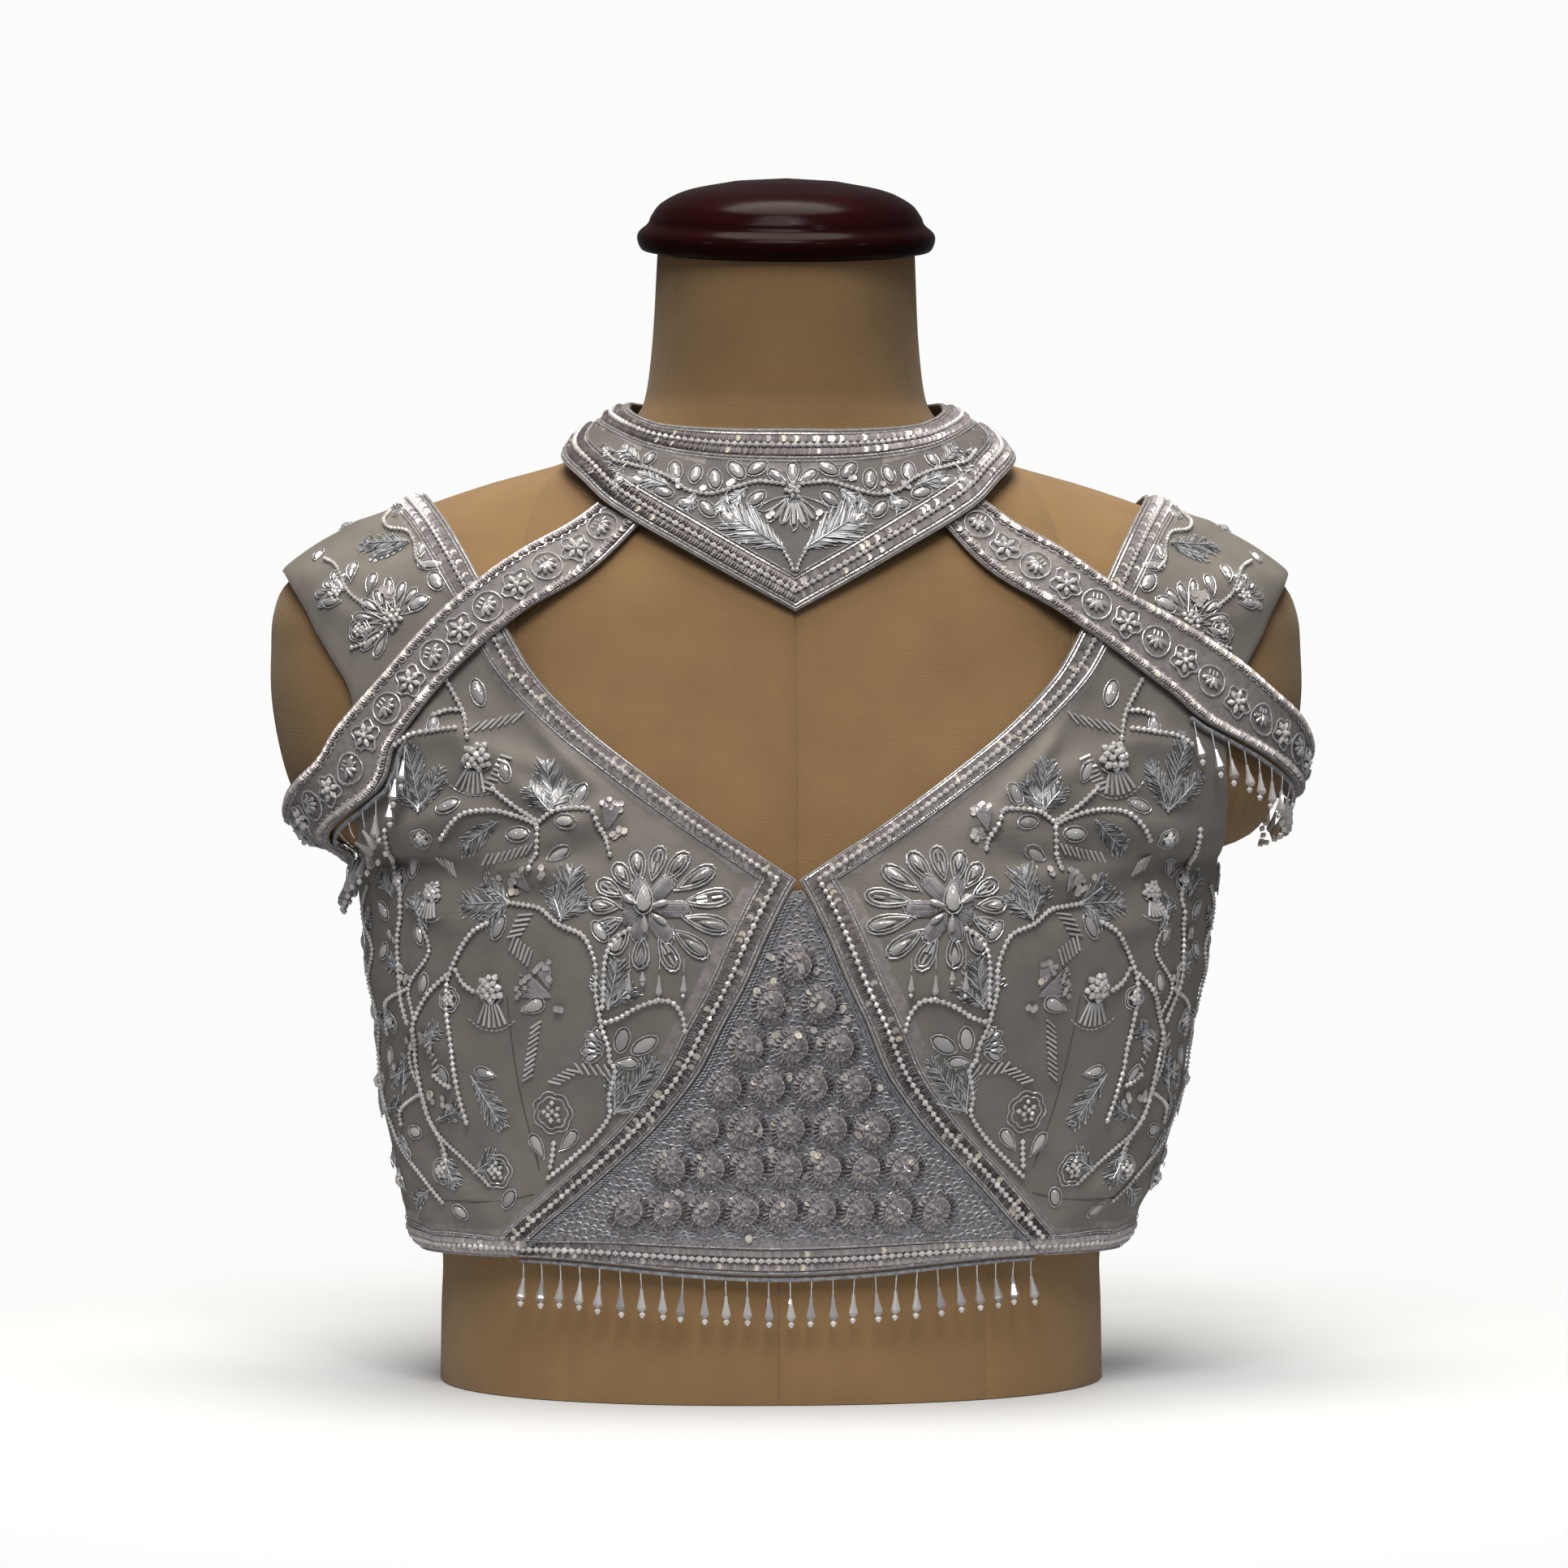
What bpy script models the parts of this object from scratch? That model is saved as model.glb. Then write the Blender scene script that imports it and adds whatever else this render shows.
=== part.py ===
"""Choli blouse on a limbless dress form.

The body is a stack of level sections, each a superellipse with its own half width, front and back.
The form is that body, and the cloth is the same body with ease added, so each panel is a strip of
the eased surface between two edges, given a wall along the surface's own outward direction.
Sizes below are in millimetres. +Z is up, the front faces -Y, and the flat base stands at z = 0.
"""

import math

import bpy
import numpy as np

MM = 0.001

CLOTH = 2.0
SEAM = 0.3
BORDER_WIDTH = 15.0
BORDER_RISE = 0.8
HEM_BORDER = 11.0
BORDER_STEP = 2.0

# Level sections of the body: the form's sizes, then the room that the cloth has over it.
# height, half_width, front, back, squareness, side_ease, front_ease, back_ease
SECTION_ROWS = (
    (0, 136, -98, 92, 2.3, 2.2, 2.5, 2.0),
    (30, 135.5, -97, 91, 2.3, 2.2, 2.5, 2.0),
    (50, 135, -98, 91, 2.3, 4.0, 2.5, 2.0),
    (64, 138, -99, 91.5, 2.3, 8.0, 3.0, 2.5),
    (80, 143, -100, 92, 2.3, 9.5, 3.0, 3.0),
    (110, 150.5, -102, 94, 2.3, 9.5, 3.0, 3.0),
    (145, 157, -104, 97, 2.3, 8.5, 3.0, 3.0),
    (180, 163, -104, 99, 2.3, 8.5, 3.0, 3.0),
    (205, 167, -103, 100, 2.3, 8.0, 2.5, 3.0),
    (213, 170, -102.5, 100, 2.3, 6.5, 2.3, 2.5),
    (217.5, 182, -102, 100, 2.3, 5.0, 2.2, 2.6),
    (223, 192, -101.7, 100, 2.3, 3.7, 2.0, 2.7),
    (232, 199, -101, 99, 2.3, 2.6, 1.8, 2.1),
    (245, 205.5, -99.5, 98, 2.3, 1.8, 1.5, 1.5),
    (262, 210, -97, 97, 2.25, 1.2, 1.2, 1.2),
    (280, 212.5, -94, 95, 2.2, 1.0, 1.0, 1.0),
    (297, 212.5, -91, 93, 2.15, 1.1, 1.2, 1.2),
    (312, 211.5, -88, 90, 2.1, 1.3, 1.3, 1.3),
    (325, 206, -84.5, 88, 2.0, 4.0, 1.4, 1.4),
    (338, 189, -80, 84, 1.85, 6.0, 1.2, 1.2),
    (348, 171, -77, 80, 1.75, 5.5, 1.0, 1.0),
    (357, 149, -74.5, 76, 1.7, 4.5, 0.8, 0.8),
    (366, 122, -72, 71, 1.7, 3.0, 0.8, 0.8),
    (374, 93, -69, 66, 1.75, 2.0, 0.8, 0.8),
    (383, 72, -66, 61, 1.85, 1.0, 1.0, 1.0),
    (393, 62, -65, 56, 1.95, 1.0, 1.0, 1.0),
    (402, 57.5, -65, 53, 2.0, 1.0, 1.0, 1.0),
    (425, 54.5, -69, 45, 2.0, 1.0, 1.0, 1.0),
    (459, 52.5, -77, 33, 2.0, 1.0, 1.0, 1.0),
)

# The general figure's bust, which swells the front only.
BUST_X, BUST_Z = 72, 172
BUST_SWELL = 20
BUST_SPREAD, BUST_ABOVE, BUST_BELOW = 42, 48, 36

# The neck and its cap lean forward: the top ring is tilted by this angle.
NECK_TILT_DEG = 10.5
TILT_FROM, TILT_TO = 383, 459

# The form leans a little to one side. height, shift
LEAN_ROWS = (
    (0, -5.4), (62, -5.2), (80, -3.4), (97, -1.8), (130, -0.6), (164, 0.8), (205, 1.4), (250, 1.6),
    (330, 1.2), (400, 0.3), (500, 0),
)

# Height of the hem round the body. angle_deg from the front centre, height
HEM_ROWS = ((-20, 53), (0, 51.5), (20, 53), (45, 57), (62, 57), (90, 54.5), (135, 54), (180, 54))
HEM_FRONT_Z, HEM_BACK_Z = 52, 54

# Seam between the centre panel and a cup, from the hem up to the point of the neckline. x, height
CENTRE_SEAM_ROWS = (
    (103.5, 57), (83.8, 76.5), (68.5, 92), (54, 107), (44.5, 119), (35.4, 132.6),
    (27.5, 150), (19.4, 165.8), (11.6, 183.3), (4.2, 198), (0.1, 205),
)
# Front neckline, from its point up to the shoulder. x, height
NECKLINE_ROWS = (
    (0.1, 205), (28, 223), (55.5, 243), (81, 263.5), (101, 284.4), (113.5, 305.5),
    (125, 325), (136.5, 346), (147, 363),
)
# Back neckline, a plain round one, from the centre back up to the shoulder. x, height
BACK_NECKLINE_ROWS = (
    (0.1, 232), (32, 236), (62, 248), (86, 268), (103, 290), (115, 308),
    (126, 326), (137, 346), (147, 363),
)
# Armhole edge, from the side seam up to the shoulder point. x, height
ARMHOLE_ROWS = (
    (176, 206), (174, 213), (172.5, 222), (173, 236), (172, 250), (173, 265), (176, 280),
    (183, 292), (191, 305), (200, 319), (206.5, 331),
)
UNDERARM_Z = 206
STRAP_FROM_Z = 303

# A row's length along the cloth over its straight length, round the body and over the shoulder.
ROUND_STRETCH, SHOULDER_STRETCH = 1.12, 1.3

# Rows below the underarm, up the armhole and over the shoulder, then cells across.
FRONT_GRID = (13, 9, 7, 9)
BACK_GRID = (9, 10, 7, 8)
CENTRE_PANEL_ROWS, CENTRE_PANEL_COLUMNS = 28, 28
CENTRE_PANEL_TOP = 0.972

# Soft folds of the worn cloth. x1, z1, x2, z2, spread, rise. A trough has a negative rise.
FRONT_FOLDS = (
    (-156, 226, -104, 238, 6, 2.2),
    (-170, 214, -128, 212, 5, -0.8),
    (-150, 180, -112, 96, 5, 1.4),
    (-160, 120, -128, 74, 6, 1.8),
    (-166, 168, -140, 150, 5, 1.6),
    (156, 224, 108, 232, 6, 2.0),
    (170, 208, 130, 206, 5, -0.8),
    (148, 184, 114, 98, 5, 1.3),
    (158, 126, 126, 80, 6, 1.6),
    (165, 172, 142, 158, 5, 1.5),
)
BACK_FOLDS = (
    (-150, 200, -70, 186, 7, 2.0),
    (-150, 120, -74, 98, 7, 1.6),
    (152, 196, 76, 178, 7, 2.0),
    (148, 112, 78, 92, 7, 1.6),
)

# A fold has its whole rise up to this share of its line from the middle, then fades over the next.
FOLD_FULL, FOLD_FADE = 0.35, 0.22

# Padded rosettes on the centre panel. height, count, spacing
ROSETTE_ROWS = (
    (172.5, 1, 0), (158, 2, 20), (141.5, 3, 17.7), (126, 4, 16.8), (109.5, 5, 16.5),
    (93.5, 7, 15), (76.5, 9, 14.8),
)
ROSETTE_RADIUS = 8.4
ROSETTE_RISE = 3.4

# Collar band, the same on both sides. angle_deg, edge_height, edge_stand_off, top_height, top_stand_off
COLLAR_ROWS = (
    (0, 309.5, 0.8, 382.5, 2.6),
    (22.4, 328, 3.2, 382.5, 2.6),
    (45, 348, 4.6, 384, 2.8),
    (58, 361.5, 4.8, 387, 3.0),
    (75, 372.5, 5.0, 392, 3.2),
    (90, 377, 4.8, 396, 3.2),
    (112, 374, 4.8, 398, 3.0),
    (135, 370, 4.6, 399, 2.8),
    (180, 367, 4.2, 399.5, 2.8),
)
COLLAR_BULGE = 1.2
COLLAR_BACK_Z, COLLAR_BACK_GAP = 405, 0.2
COLLAR_AROUND, COLLAR_DOWN = 52, 4

# Cross straps from the collar over the shoulder and round the arm stump.
# upper_x, upper_z, lower_x, lower_z. The last row of each lies on the side of the body.
RIGHT_FRONT_ROWS = (
    (76, 355, 58.9, 345.2), (99, 338, 75, 327.5), (124.5, 321, 97, 313.4),
    (151.5, 307, 121, 297.5), (175.5, 292.5, 145, 280.2), (198, 275, 171, 262.2),
    (220, 256, 220, 236),
)
RIGHT_BACK_ROWS = (
    (80, 370, 56, 366), (101, 354, 78, 348), (126, 335, 100, 328), (151, 317, 124, 308),
    (176, 297, 149, 286), (199, 276, 175, 262), (220, 256, 220, 236),
)
LEFT_FRONT_ROWS = (
    (77, 353, 60.5, 344.6), (104, 334, 79, 326.5), (137, 311, 107.5, 307.7),
    (160.5, 286, 134, 285), (179, 265, 154, 260), (191, 248, 166.5, 236), (205, 230, 205, 209),
)
LEFT_BACK_ROWS = (
    (80, 370, 56, 366), (106, 350, 82, 345), (138, 324, 110, 319), (164, 298, 136, 292),
    (182, 272, 156, 264), (193, 250, 168, 237), (205, 230, 205, 209),
)
STRAP_NEAR, STRAP_FAR = 0.4, 3.5
STRAP_LIFT_FROM, STRAP_LIFT_TO = 84, 106
STRAP_ALONG, STRAP_ACROSS = 40, 3
LEVEL_BELOW_Z, SQUARE_ABOVE_Z = 268, 300

# One bead strand: distance below its strip, and half of its thickness.
STRAND_RINGS = ((6.2, 0.65), (12.6, 2.0), (18.2, 0.9))
STRAND_ROOT = 0.8
STRIP_DEPTH = 2.2
STRIP_GAP = 1.0
STRAND_SWING = 0.17
HEM_STRANDS, HEM_FRINGE_REACH = 26, 100
STRAP_STRAND_PITCH = 8.2
STRAP_FRINGE_FROM_X = 150

# Turned cap on the neck. radius, height above its seat
CAP_PROFILE = (
    (53, 0), (58.5, 0.8), (60.6, 4.5), (60.2, 8), (56.4, 11.5), (54.8, 15), (50.5, 20), (40, 25), (22, 28.5),
)
CAP_CENTRE_HEIGHT = 30
CAP_SIDES = 28

HOOK_SIZE = (12, 5, 1.2)
BACK_HOOK_HEIGHTS = (72, 106, 140, 174, 208)

FORM_SIDES = 32
FORM_HEIGHTS = (
    0, 26, 50, 64, 80, 104, 126, 145, 162, 180, 196, 206, 213, 217.5, 223, 232, 245, 262, 280, 297, 312, 325, 338,
    348, 357, 366, 374, 383, 393, 402, 425, 459,
)


def smooth_rows(rows, steps=24):
    """Catmull-Rom curve that passes through every row of a table, with this many points per span."""
    table = np.asarray(rows, float)
    padded = np.vstack([2 * table[0] - table[1], table, 2 * table[-1] - table[-2]])
    t = np.linspace(0, 1, steps, endpoint=False)[:, None]
    spans = []
    for i in range(len(table) - 1):
        a, b, c, d = padded[i : i + 4]
        spans.append(0.5 * (2 * b + (c - a) * t + (2 * a - 5 * b + 4 * c - d) * t**2 + (3 * b - a - 3 * c + d) * t**3))
    return np.vstack([*spans, table[-1:]])


SECTIONS = smooth_rows(SECTION_ROWS)


def measures(height, ease):
    """Half width, half depth, middle and squareness of the level section, with this share of the ease."""
    half_width, front, back, squareness, side, chest, spine = (
        np.interp(height, SECTIONS[:, 0], column) for column in SECTIONS.T[1:]
    )
    front = front - ease * chest
    back = back + ease * spine
    return half_width + ease * side, (back - front) / 2, (back + front) / 2, squareness


def bust(x, height, half_width):
    """Forward swell: two mounds, longer above than below, which fade out towards the side."""
    spread_z = np.where(height > BUST_Z, BUST_ABOVE, BUST_BELOW)
    level = np.exp(-(((height - BUST_Z) / spread_z) ** 2) / 2)
    mounds = sum(np.exp(-(((x - side * BUST_X) / BUST_SPREAD) ** 2) / 2) for side in (-1, 1))
    return BUST_SWELL * level * mounds * np.clip(1 - (x / half_width) ** 2, 0, 1)


def on_body(angle, height, ease=1.0):
    """Points at these angles round the body and these heights: the superellipse's radius, then the bust."""
    half_width, half_depth, middle, squareness = measures(height, ease)
    across, along = np.sin(angle), np.cos(angle)
    radius = (np.abs(across / half_width) ** squareness + np.abs(along / half_depth) ** squareness) ** (-1 / squareness)
    x = radius * across
    y = middle - radius * along - np.where(along > 0, bust(x, height, half_width), 0)
    return np.stack([x, y, np.broadcast_to(height, x.shape)], axis=-1)


def angle_at(x, height, rear=False, ease=1.0):
    """Angle at which the level section reaches this x, on the front half or on the rear half."""
    half_width, half_depth, _, squareness = measures(height, ease)
    share = np.clip(np.abs(x) / half_width, 0, 1)
    depth = half_depth * (1 - share**squareness) ** (1 / squareness)
    angle = np.arctan2(np.minimum(np.abs(x), half_width), depth)
    return np.sign(x) * (math.pi - angle if rear else angle)


def outward(points, ease=1.0):
    """Unit direction out of the body: the gradient of the section's own equation, by central differences."""

    def fullness(where):
        x, y, z = where[..., 0], where[..., 1], where[..., 2]
        half_width, half_depth, middle, squareness = measures(z, ease)
        y = y + np.where(y < middle, bust(x, z, half_width), 0)
        return (
            np.abs(x / half_width) ** squareness + np.abs((y - middle) / half_depth) ** squareness
        ) ** (1 / squareness)

    step = 0.4
    slopes = [fullness(points + step * axis) - fullness(points - step * axis) for axis in np.eye(3)]
    gradient = np.stack(slopes, axis=-1)
    return gradient / np.linalg.norm(gradient, axis=-1, keepdims=True)


def folds(points, rows):
    """Rise of the soft folds: a round ridge or trough along each row's line, faded at its two ends."""
    x, z = points[..., 0], points[..., 2]
    total = np.zeros(x.shape)
    for x1, z1, x2, z2, spread, rise in rows:
        run = np.array([x2 - x1, z2 - z1])
        length = np.linalg.norm(run)
        along = ((x - x1) * run[0] + (z - z1) * run[1]) / length**2
        across = ((x - x1) * run[1] - (z - z1) * run[0]) / length
        fade = np.exp(-((np.clip(np.abs(along - 0.5) - FOLD_FULL, 0, None) / FOLD_FADE) ** 2))
        total += rise * fade * np.exp(-((across / spread) ** 2) / 2)
    return total


def ridge_height(x):
    """Height at which the shoulder's top line is this far from the middle, on the eased body."""
    heights = np.linspace(STRAP_FROM_Z, 383, 400)
    widths = measures(heights, 1.0)[0]
    return np.interp(-np.abs(x), -widths, heights)


def edge_at(rows, height):
    """x of an edge at these heights, read from the smooth curve through its rows."""
    curve = smooth_rows(rows)
    return np.interp(height, curve[:, 1], curve[:, 0])


def lean(height):
    """Sideways shift of the whole figure at these heights."""
    curve = smooth_rows(LEAN_ROWS)
    return np.interp(height, curve[:, 0], curve[:, 1])


def material(name, colour, roughness, metallic=0.0):
    made = bpy.data.materials.new(name)
    made.use_nodes = True
    shader = made.node_tree.nodes["Principled BSDF"]
    shader.inputs["Base Color"].default_value = (*colour, 1)
    shader.inputs["Roughness"].default_value = roughness
    shader.inputs["Metallic"].default_value = metallic
    return made


def add_object(name, points, faces, finish, smooth=True):
    """One named closed mesh from points in millimetres, turned so that its faces point outwards."""
    points = np.array(points, float)
    points[:, 0] += lean(points[:, 2])
    volume = 0.0
    for face in faces:
        corners = points[list(face)]
        volume += sum(np.dot(corners[0], np.cross(corners[i], corners[i + 1])) for i in range(1, len(face) - 1))
    if volume < 0:
        faces = [tuple(reversed(face)) for face in faces]
    mesh = bpy.data.meshes.new(name)
    mesh.from_pydata((points * MM).tolist(), [], [tuple(int(i) for i in face) for face in faces])
    mesh.materials.append(finish)
    if smooth:
        mesh.shade_smooth()
        mesh.set_sharp_from_angle(angle=math.radians(35))
    made = bpy.data.objects.new(name, mesh)
    bpy.context.collection.objects.link(made)
    return made


def wall(name, outer, inner, finish):
    """Closed wall between two grids of points: both skins, and a rim round all four edges."""
    rows, columns = outer.shape[:2]
    index = np.arange(rows * columns).reshape(rows, columns)
    behind = index + rows * columns
    faces = []
    for r in range(rows - 1):
        for c in range(columns - 1):
            faces.append((index[r, c], index[r, c + 1], index[r + 1, c + 1], index[r + 1, c]))
            faces.append((behind[r, c], behind[r + 1, c], behind[r + 1, c + 1], behind[r, c + 1]))
    rim = [*index[0, :], *index[1:, -1], *index[-1, -2::-1], *index[-2:0:-1, 0]]
    for here, after in zip(rim, rim[1:] + rim[:1]):
        faces.append((after, here, here + rows * columns, after + rows * columns))
    points = np.vstack([outer.reshape(-1, 3), inner.reshape(-1, 3)])
    return add_object(name, points, faces, finish)


def turned_stack(name, rings, finish, top=None):
    """Closed solid from rings of points, with a flat face at the bottom and a flat or domed top."""
    count, sides = rings.shape[:2]
    points = rings.reshape(-1, 3)
    index = np.arange(count * sides).reshape(count, sides)
    faces = [tuple(index[0, ::-1])]
    for r in range(count - 1):
        for c in range(sides):
            d = (c + 1) % sides
            faces.append((index[r, c], index[r, d], index[r + 1, d], index[r + 1, c]))
    if top is None:
        faces.append(tuple(index[-1]))
    else:
        points = np.vstack([points, top])
        faces += [(index[-1, c], index[-1, (c + 1) % sides], len(points) - 1) for c in range(sides)]
    return add_object(name, points, faces, finish)


def tilt(points):
    """Leans the neck's rings forward, each turned about its own middle."""
    share = np.clip((points[..., 2] - TILT_FROM) / (TILT_TO - TILT_FROM), 0, 1)
    middle = measures(points[..., 2], 0)[2]
    leaned = points.copy()
    leaned[..., 2] += share * math.tan(math.radians(NECK_TILT_DEG)) * (points[..., 1] - middle)
    return leaned


def dress_form(finish):
    angles = np.arange(FORM_SIDES) * 2 * math.pi / FORM_SIDES
    heights = np.asarray(FORM_HEIGHTS, float)
    rings = on_body(*np.meshgrid(angles, heights), ease=0.0)
    return turned_stack("dress_form", tilt(rings), finish)


def neck_cap(finish):
    """The profile turned about the neck's leaning axis, seated a seam's gap above the neck's top."""
    angles = np.arange(CAP_SIDES) * 2 * math.pi / CAP_SIDES
    radius, height = (column[:, None] for column in np.asarray(CAP_PROFILE, float).T)
    local = np.stack(np.broadcast_arrays(radius * np.sin(angles), -radius * np.cos(angles), height), axis=-1)
    middle = float(measures(TILT_TO, 0)[2])
    turn = math.radians(NECK_TILT_DEG)

    def seated(points):
        x, y, z = points[..., 0], points[..., 1], points[..., 2] + SEAM
        leaned_y = middle + y * math.cos(turn) - z * math.sin(turn)
        leaned_z = TILT_TO + y * math.sin(turn) + z * math.cos(turn)
        return np.stack([x, leaned_y, leaned_z], axis=-1)

    return turned_stack("neck_cap", seated(local), finish, top=seated(np.array([[0, 0, CAP_CENTRE_HEIGHT]])))


def column_shares(length, cells):
    """Shares across a row: a seam border of its own width, then even cells. length holds one value per row."""
    border = np.stack([0 * length, BORDER_WIDTH / length, (BORDER_WIDTH + BORDER_STEP) / length], axis=-1)
    rest = np.linspace(0, 1, cells + 1)[1:]
    return np.concatenate([border, border[:, 2:] + (1 - border[:, 2:]) * rest], axis=1)


def hem_height(angle):
    curve = smooth_rows(HEM_ROWS)
    return np.interp(np.degrees(np.abs(angle)), curve[:, 0], curve[:, 1])


def lower_shares(rows):
    """Shares of the way from the hem to the underarm, with the hem border's own two rows first."""
    first = HEM_BORDER / (UNDERARM_Z - HEM_FRONT_Z)
    second = (HEM_BORDER + BORDER_STEP) / (UNDERARM_Z - HEM_FRONT_Z)
    return np.concatenate([[0, first], np.linspace(second, 1, rows - 1)])


def along_curve(rows, shares):
    """Points of the smooth curve through the rows, at these shares of its height."""
    curve = smooth_rows(rows)
    height = curve[0, 1] + (curve[-1, 1] - curve[0, 1]) * shares
    return np.interp(height, curve[:, 1], curve[:, 0]), height


def body_panel(side, rear, inner_low, neckline, low_rows, mid_rows, top_rows, cells):
    """Grid of base points of one panel, from the hem up to the shoulder's top line.

    Each row runs from the inner edge to the outer one, even in angle and in height. Below the underarm
    the outer edge is the side seam. Above it, it is the armhole. From STRAP_FROM_Z up, the rows climb
    over the shoulder as the sine of a quarter turn, so that the last one lies on the top line.
    """
    low = lower_shares(low_rows)
    mid = np.linspace(0, 1, mid_rows + 1)[1:]
    top = np.sin(np.linspace(0, math.pi / 2, top_rows + 1)[1:])

    low_x, low_z = inner_low(low)
    neck_z = neckline[0][1] + (STRAP_FROM_Z - neckline[0][1]) * mid
    neck_x = edge_at(neckline, neck_z)
    inner_x = np.concatenate([low_x, neck_x]) + SEAM
    inner_z = np.concatenate([low_z, neck_z])
    inner_angle = angle_at(inner_x, inner_z, rear)

    side_hem = float(hem_height(math.pi / 2))
    side_z = side_hem + (UNDERARM_Z - side_hem) * low
    side_angle = math.pi / 2 + SEAM / measures(side_z, 1.0)[1] * (1 if rear else -1)
    arm_z = UNDERARM_Z + (STRAP_FROM_Z - UNDERARM_Z) * mid
    arm_angle = angle_at(edge_at(ARMHOLE_ROWS, arm_z), arm_z, rear)
    limit = side_angle[-1]
    arm_angle = np.maximum(arm_angle, limit) if rear else np.minimum(arm_angle, limit)
    outer_angle = np.concatenate([side_angle, arm_angle])
    outer_z = np.concatenate([side_z, arm_z])

    reach = np.linalg.norm(on_body(inner_angle, inner_z) - on_body(outer_angle, outer_z), axis=-1)
    shares = column_shares(reach * ROUND_STRETCH, cells)
    angle = inner_angle[:, None] + (outer_angle - inner_angle)[:, None] * shares
    height = inner_z[:, None] + (outer_z - inner_z)[:, None] * shares
    to_hem = np.clip(1 - np.concatenate([low, np.ones(mid_rows)]), 0, 1)[:, None]
    base = hem_height(inner_angle[0]) + (side_hem - hem_height(inner_angle[0])) * shares[0]
    height = height + to_hem * (hem_height(angle[0]) - base)
    body = on_body(angle, height)

    top_z = STRAP_FROM_Z + (neckline[-1][1] - STRAP_FROM_Z) * top
    end_z = STRAP_FROM_Z + (ARMHOLE_ROWS[-1][1] - STRAP_FROM_Z) * top
    near, far = edge_at(neckline, top_z) + SEAM, edge_at(ARMHOLE_ROWS, end_z)
    shares = column_shares((far - near) * SHOULDER_STRETCH, cells)
    x = near[:, None] + (far - near)[:, None] * shares
    z = STRAP_FROM_Z + (ridge_height(x) - STRAP_FROM_Z) * top[:, None]
    strap = on_body(angle_at(x, z, rear), z)
    strap[-1, :, 1] += SEAM * (1 if rear else -1)

    grid = np.concatenate([body, strap])
    grid[..., 0] *= side
    return grid


def panel_wall(name, grid, fold_rows, finish, border_columns=2, hem_rows=2):
    """Wall of one panel: its folds move both skins, and its beaded borders raise the outer one."""
    direction = outward(grid)
    lift = folds(grid, fold_rows)
    raised = np.zeros(grid.shape[:2])
    raised[:, :border_columns] = BORDER_RISE
    raised[:hem_rows, :] = BORDER_RISE
    outer = grid + direction * (lift + CLOTH + raised)[..., None]
    inner = grid + direction * lift[..., None]
    return wall(name, outer, inner, finish)


def front_panels(finish):
    for name, side in (("front_left", -1), ("front_right", 1)):
        grid = body_panel(
            side, False, lambda shares: along_curve(CENTRE_SEAM_ROWS, shares), NECKLINE_ROWS, *FRONT_GRID
        )
        panel_wall(name, grid, FRONT_FOLDS, finish)


def back_panels(finish):
    """Two halves that meet on the centre back, where the blouse opens."""

    def centre_back(shares):
        hem = float(hem_height(math.pi))
        return 0 * shares, hem + (BACK_NECKLINE_ROWS[0][1] - hem) * shares

    for name, side in (("back_left", -1), ("back_right", 1)):
        grid = body_panel(side, True, centre_back, BACK_NECKLINE_ROWS, *BACK_GRID)
        panel_wall(name, grid, BACK_FOLDS, finish)


def centre_panel(finish):
    """Three-cornered panel between the cups, with its padded rosettes raised in the outer skin."""
    shares = np.linspace(0, CENTRE_PANEL_TOP, CENTRE_PANEL_ROWS + 1)
    edge_x, edge_z = along_curve(CENTRE_SEAM_ROWS, shares)
    edge_angle = angle_at(edge_x - SEAM, edge_z)
    spread = np.linspace(-1, 1, CENTRE_PANEL_COLUMNS + 1)
    angle = edge_angle[:, None] * spread
    height = np.repeat(edge_z[:, None], CENTRE_PANEL_COLUMNS + 1, axis=1)
    height += (1 - shares / CENTRE_PANEL_TOP)[:, None] * (hem_height(angle[0]) - hem_height(edge_angle[0]))
    grid = on_body(angle, height)
    direction = outward(grid)

    pad = np.zeros(grid.shape[:2])
    for level, count, spacing in ROSETTE_ROWS:
        for place in range(count):
            centre = (place - (count - 1) / 2) * spacing
            distance = np.hypot(grid[..., 0] - centre, grid[..., 2] - level) / ROSETTE_RADIUS
            pad = np.maximum(pad, ROSETTE_RISE * np.cos(np.clip(distance, 0, 1) * math.pi / 2) ** 2)
    wall("centre_panel", grid + direction * (CLOTH + pad)[..., None], grid, finish)


def collar(finish):
    """Choker band with a point in front: straight lines from its top ring to its edge, bulged a little."""
    curve = smooth_rows(COLLAR_ROWS)
    back_gap = COLLAR_BACK_GAP / float(measures(COLLAR_BACK_Z, 0)[1])
    angle = np.linspace(-math.pi + back_gap, math.pi - back_gap, COLLAR_AROUND + 1)
    turned = np.degrees(np.abs(angle))
    edge_z, edge_off, top_z, top_off = (np.interp(turned, curve[:, 0], column) for column in curve.T[1:])
    ends = []
    for height, stand_off in ((top_z, top_off), (edge_z, edge_off)):
        point = on_body(angle, height, ease=0.0)
        ends.append(point + outward(point, 0.0) * stand_off[:, None])
    share = np.linspace(0, 1, COLLAR_DOWN + 1)[:, None, None]
    grid = ends[0] + (ends[1] - ends[0]) * share
    tangent = np.gradient(grid, axis=1)
    fall = np.broadcast_to(ends[1] - ends[0], grid.shape)
    direction = np.cross(fall, tangent)
    direction /= np.linalg.norm(direction, axis=-1, keepdims=True)
    direction *= np.sign(np.sum(direction * grid * [1, 1, 0], axis=-1, keepdims=True))
    bulge = COLLAR_BULGE * np.sin(math.pi * share)
    wall("collar", grid + direction * (CLOTH + bulge), grid + direction * bulge, finish)
    half_way = COLLAR_DOWN // 2
    middle = grid[half_way, 0] + direction[half_way, 0] * (CLOTH + COLLAR_BULGE)
    return middle * [0, 1, 1], direction[half_way, 0]


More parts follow.
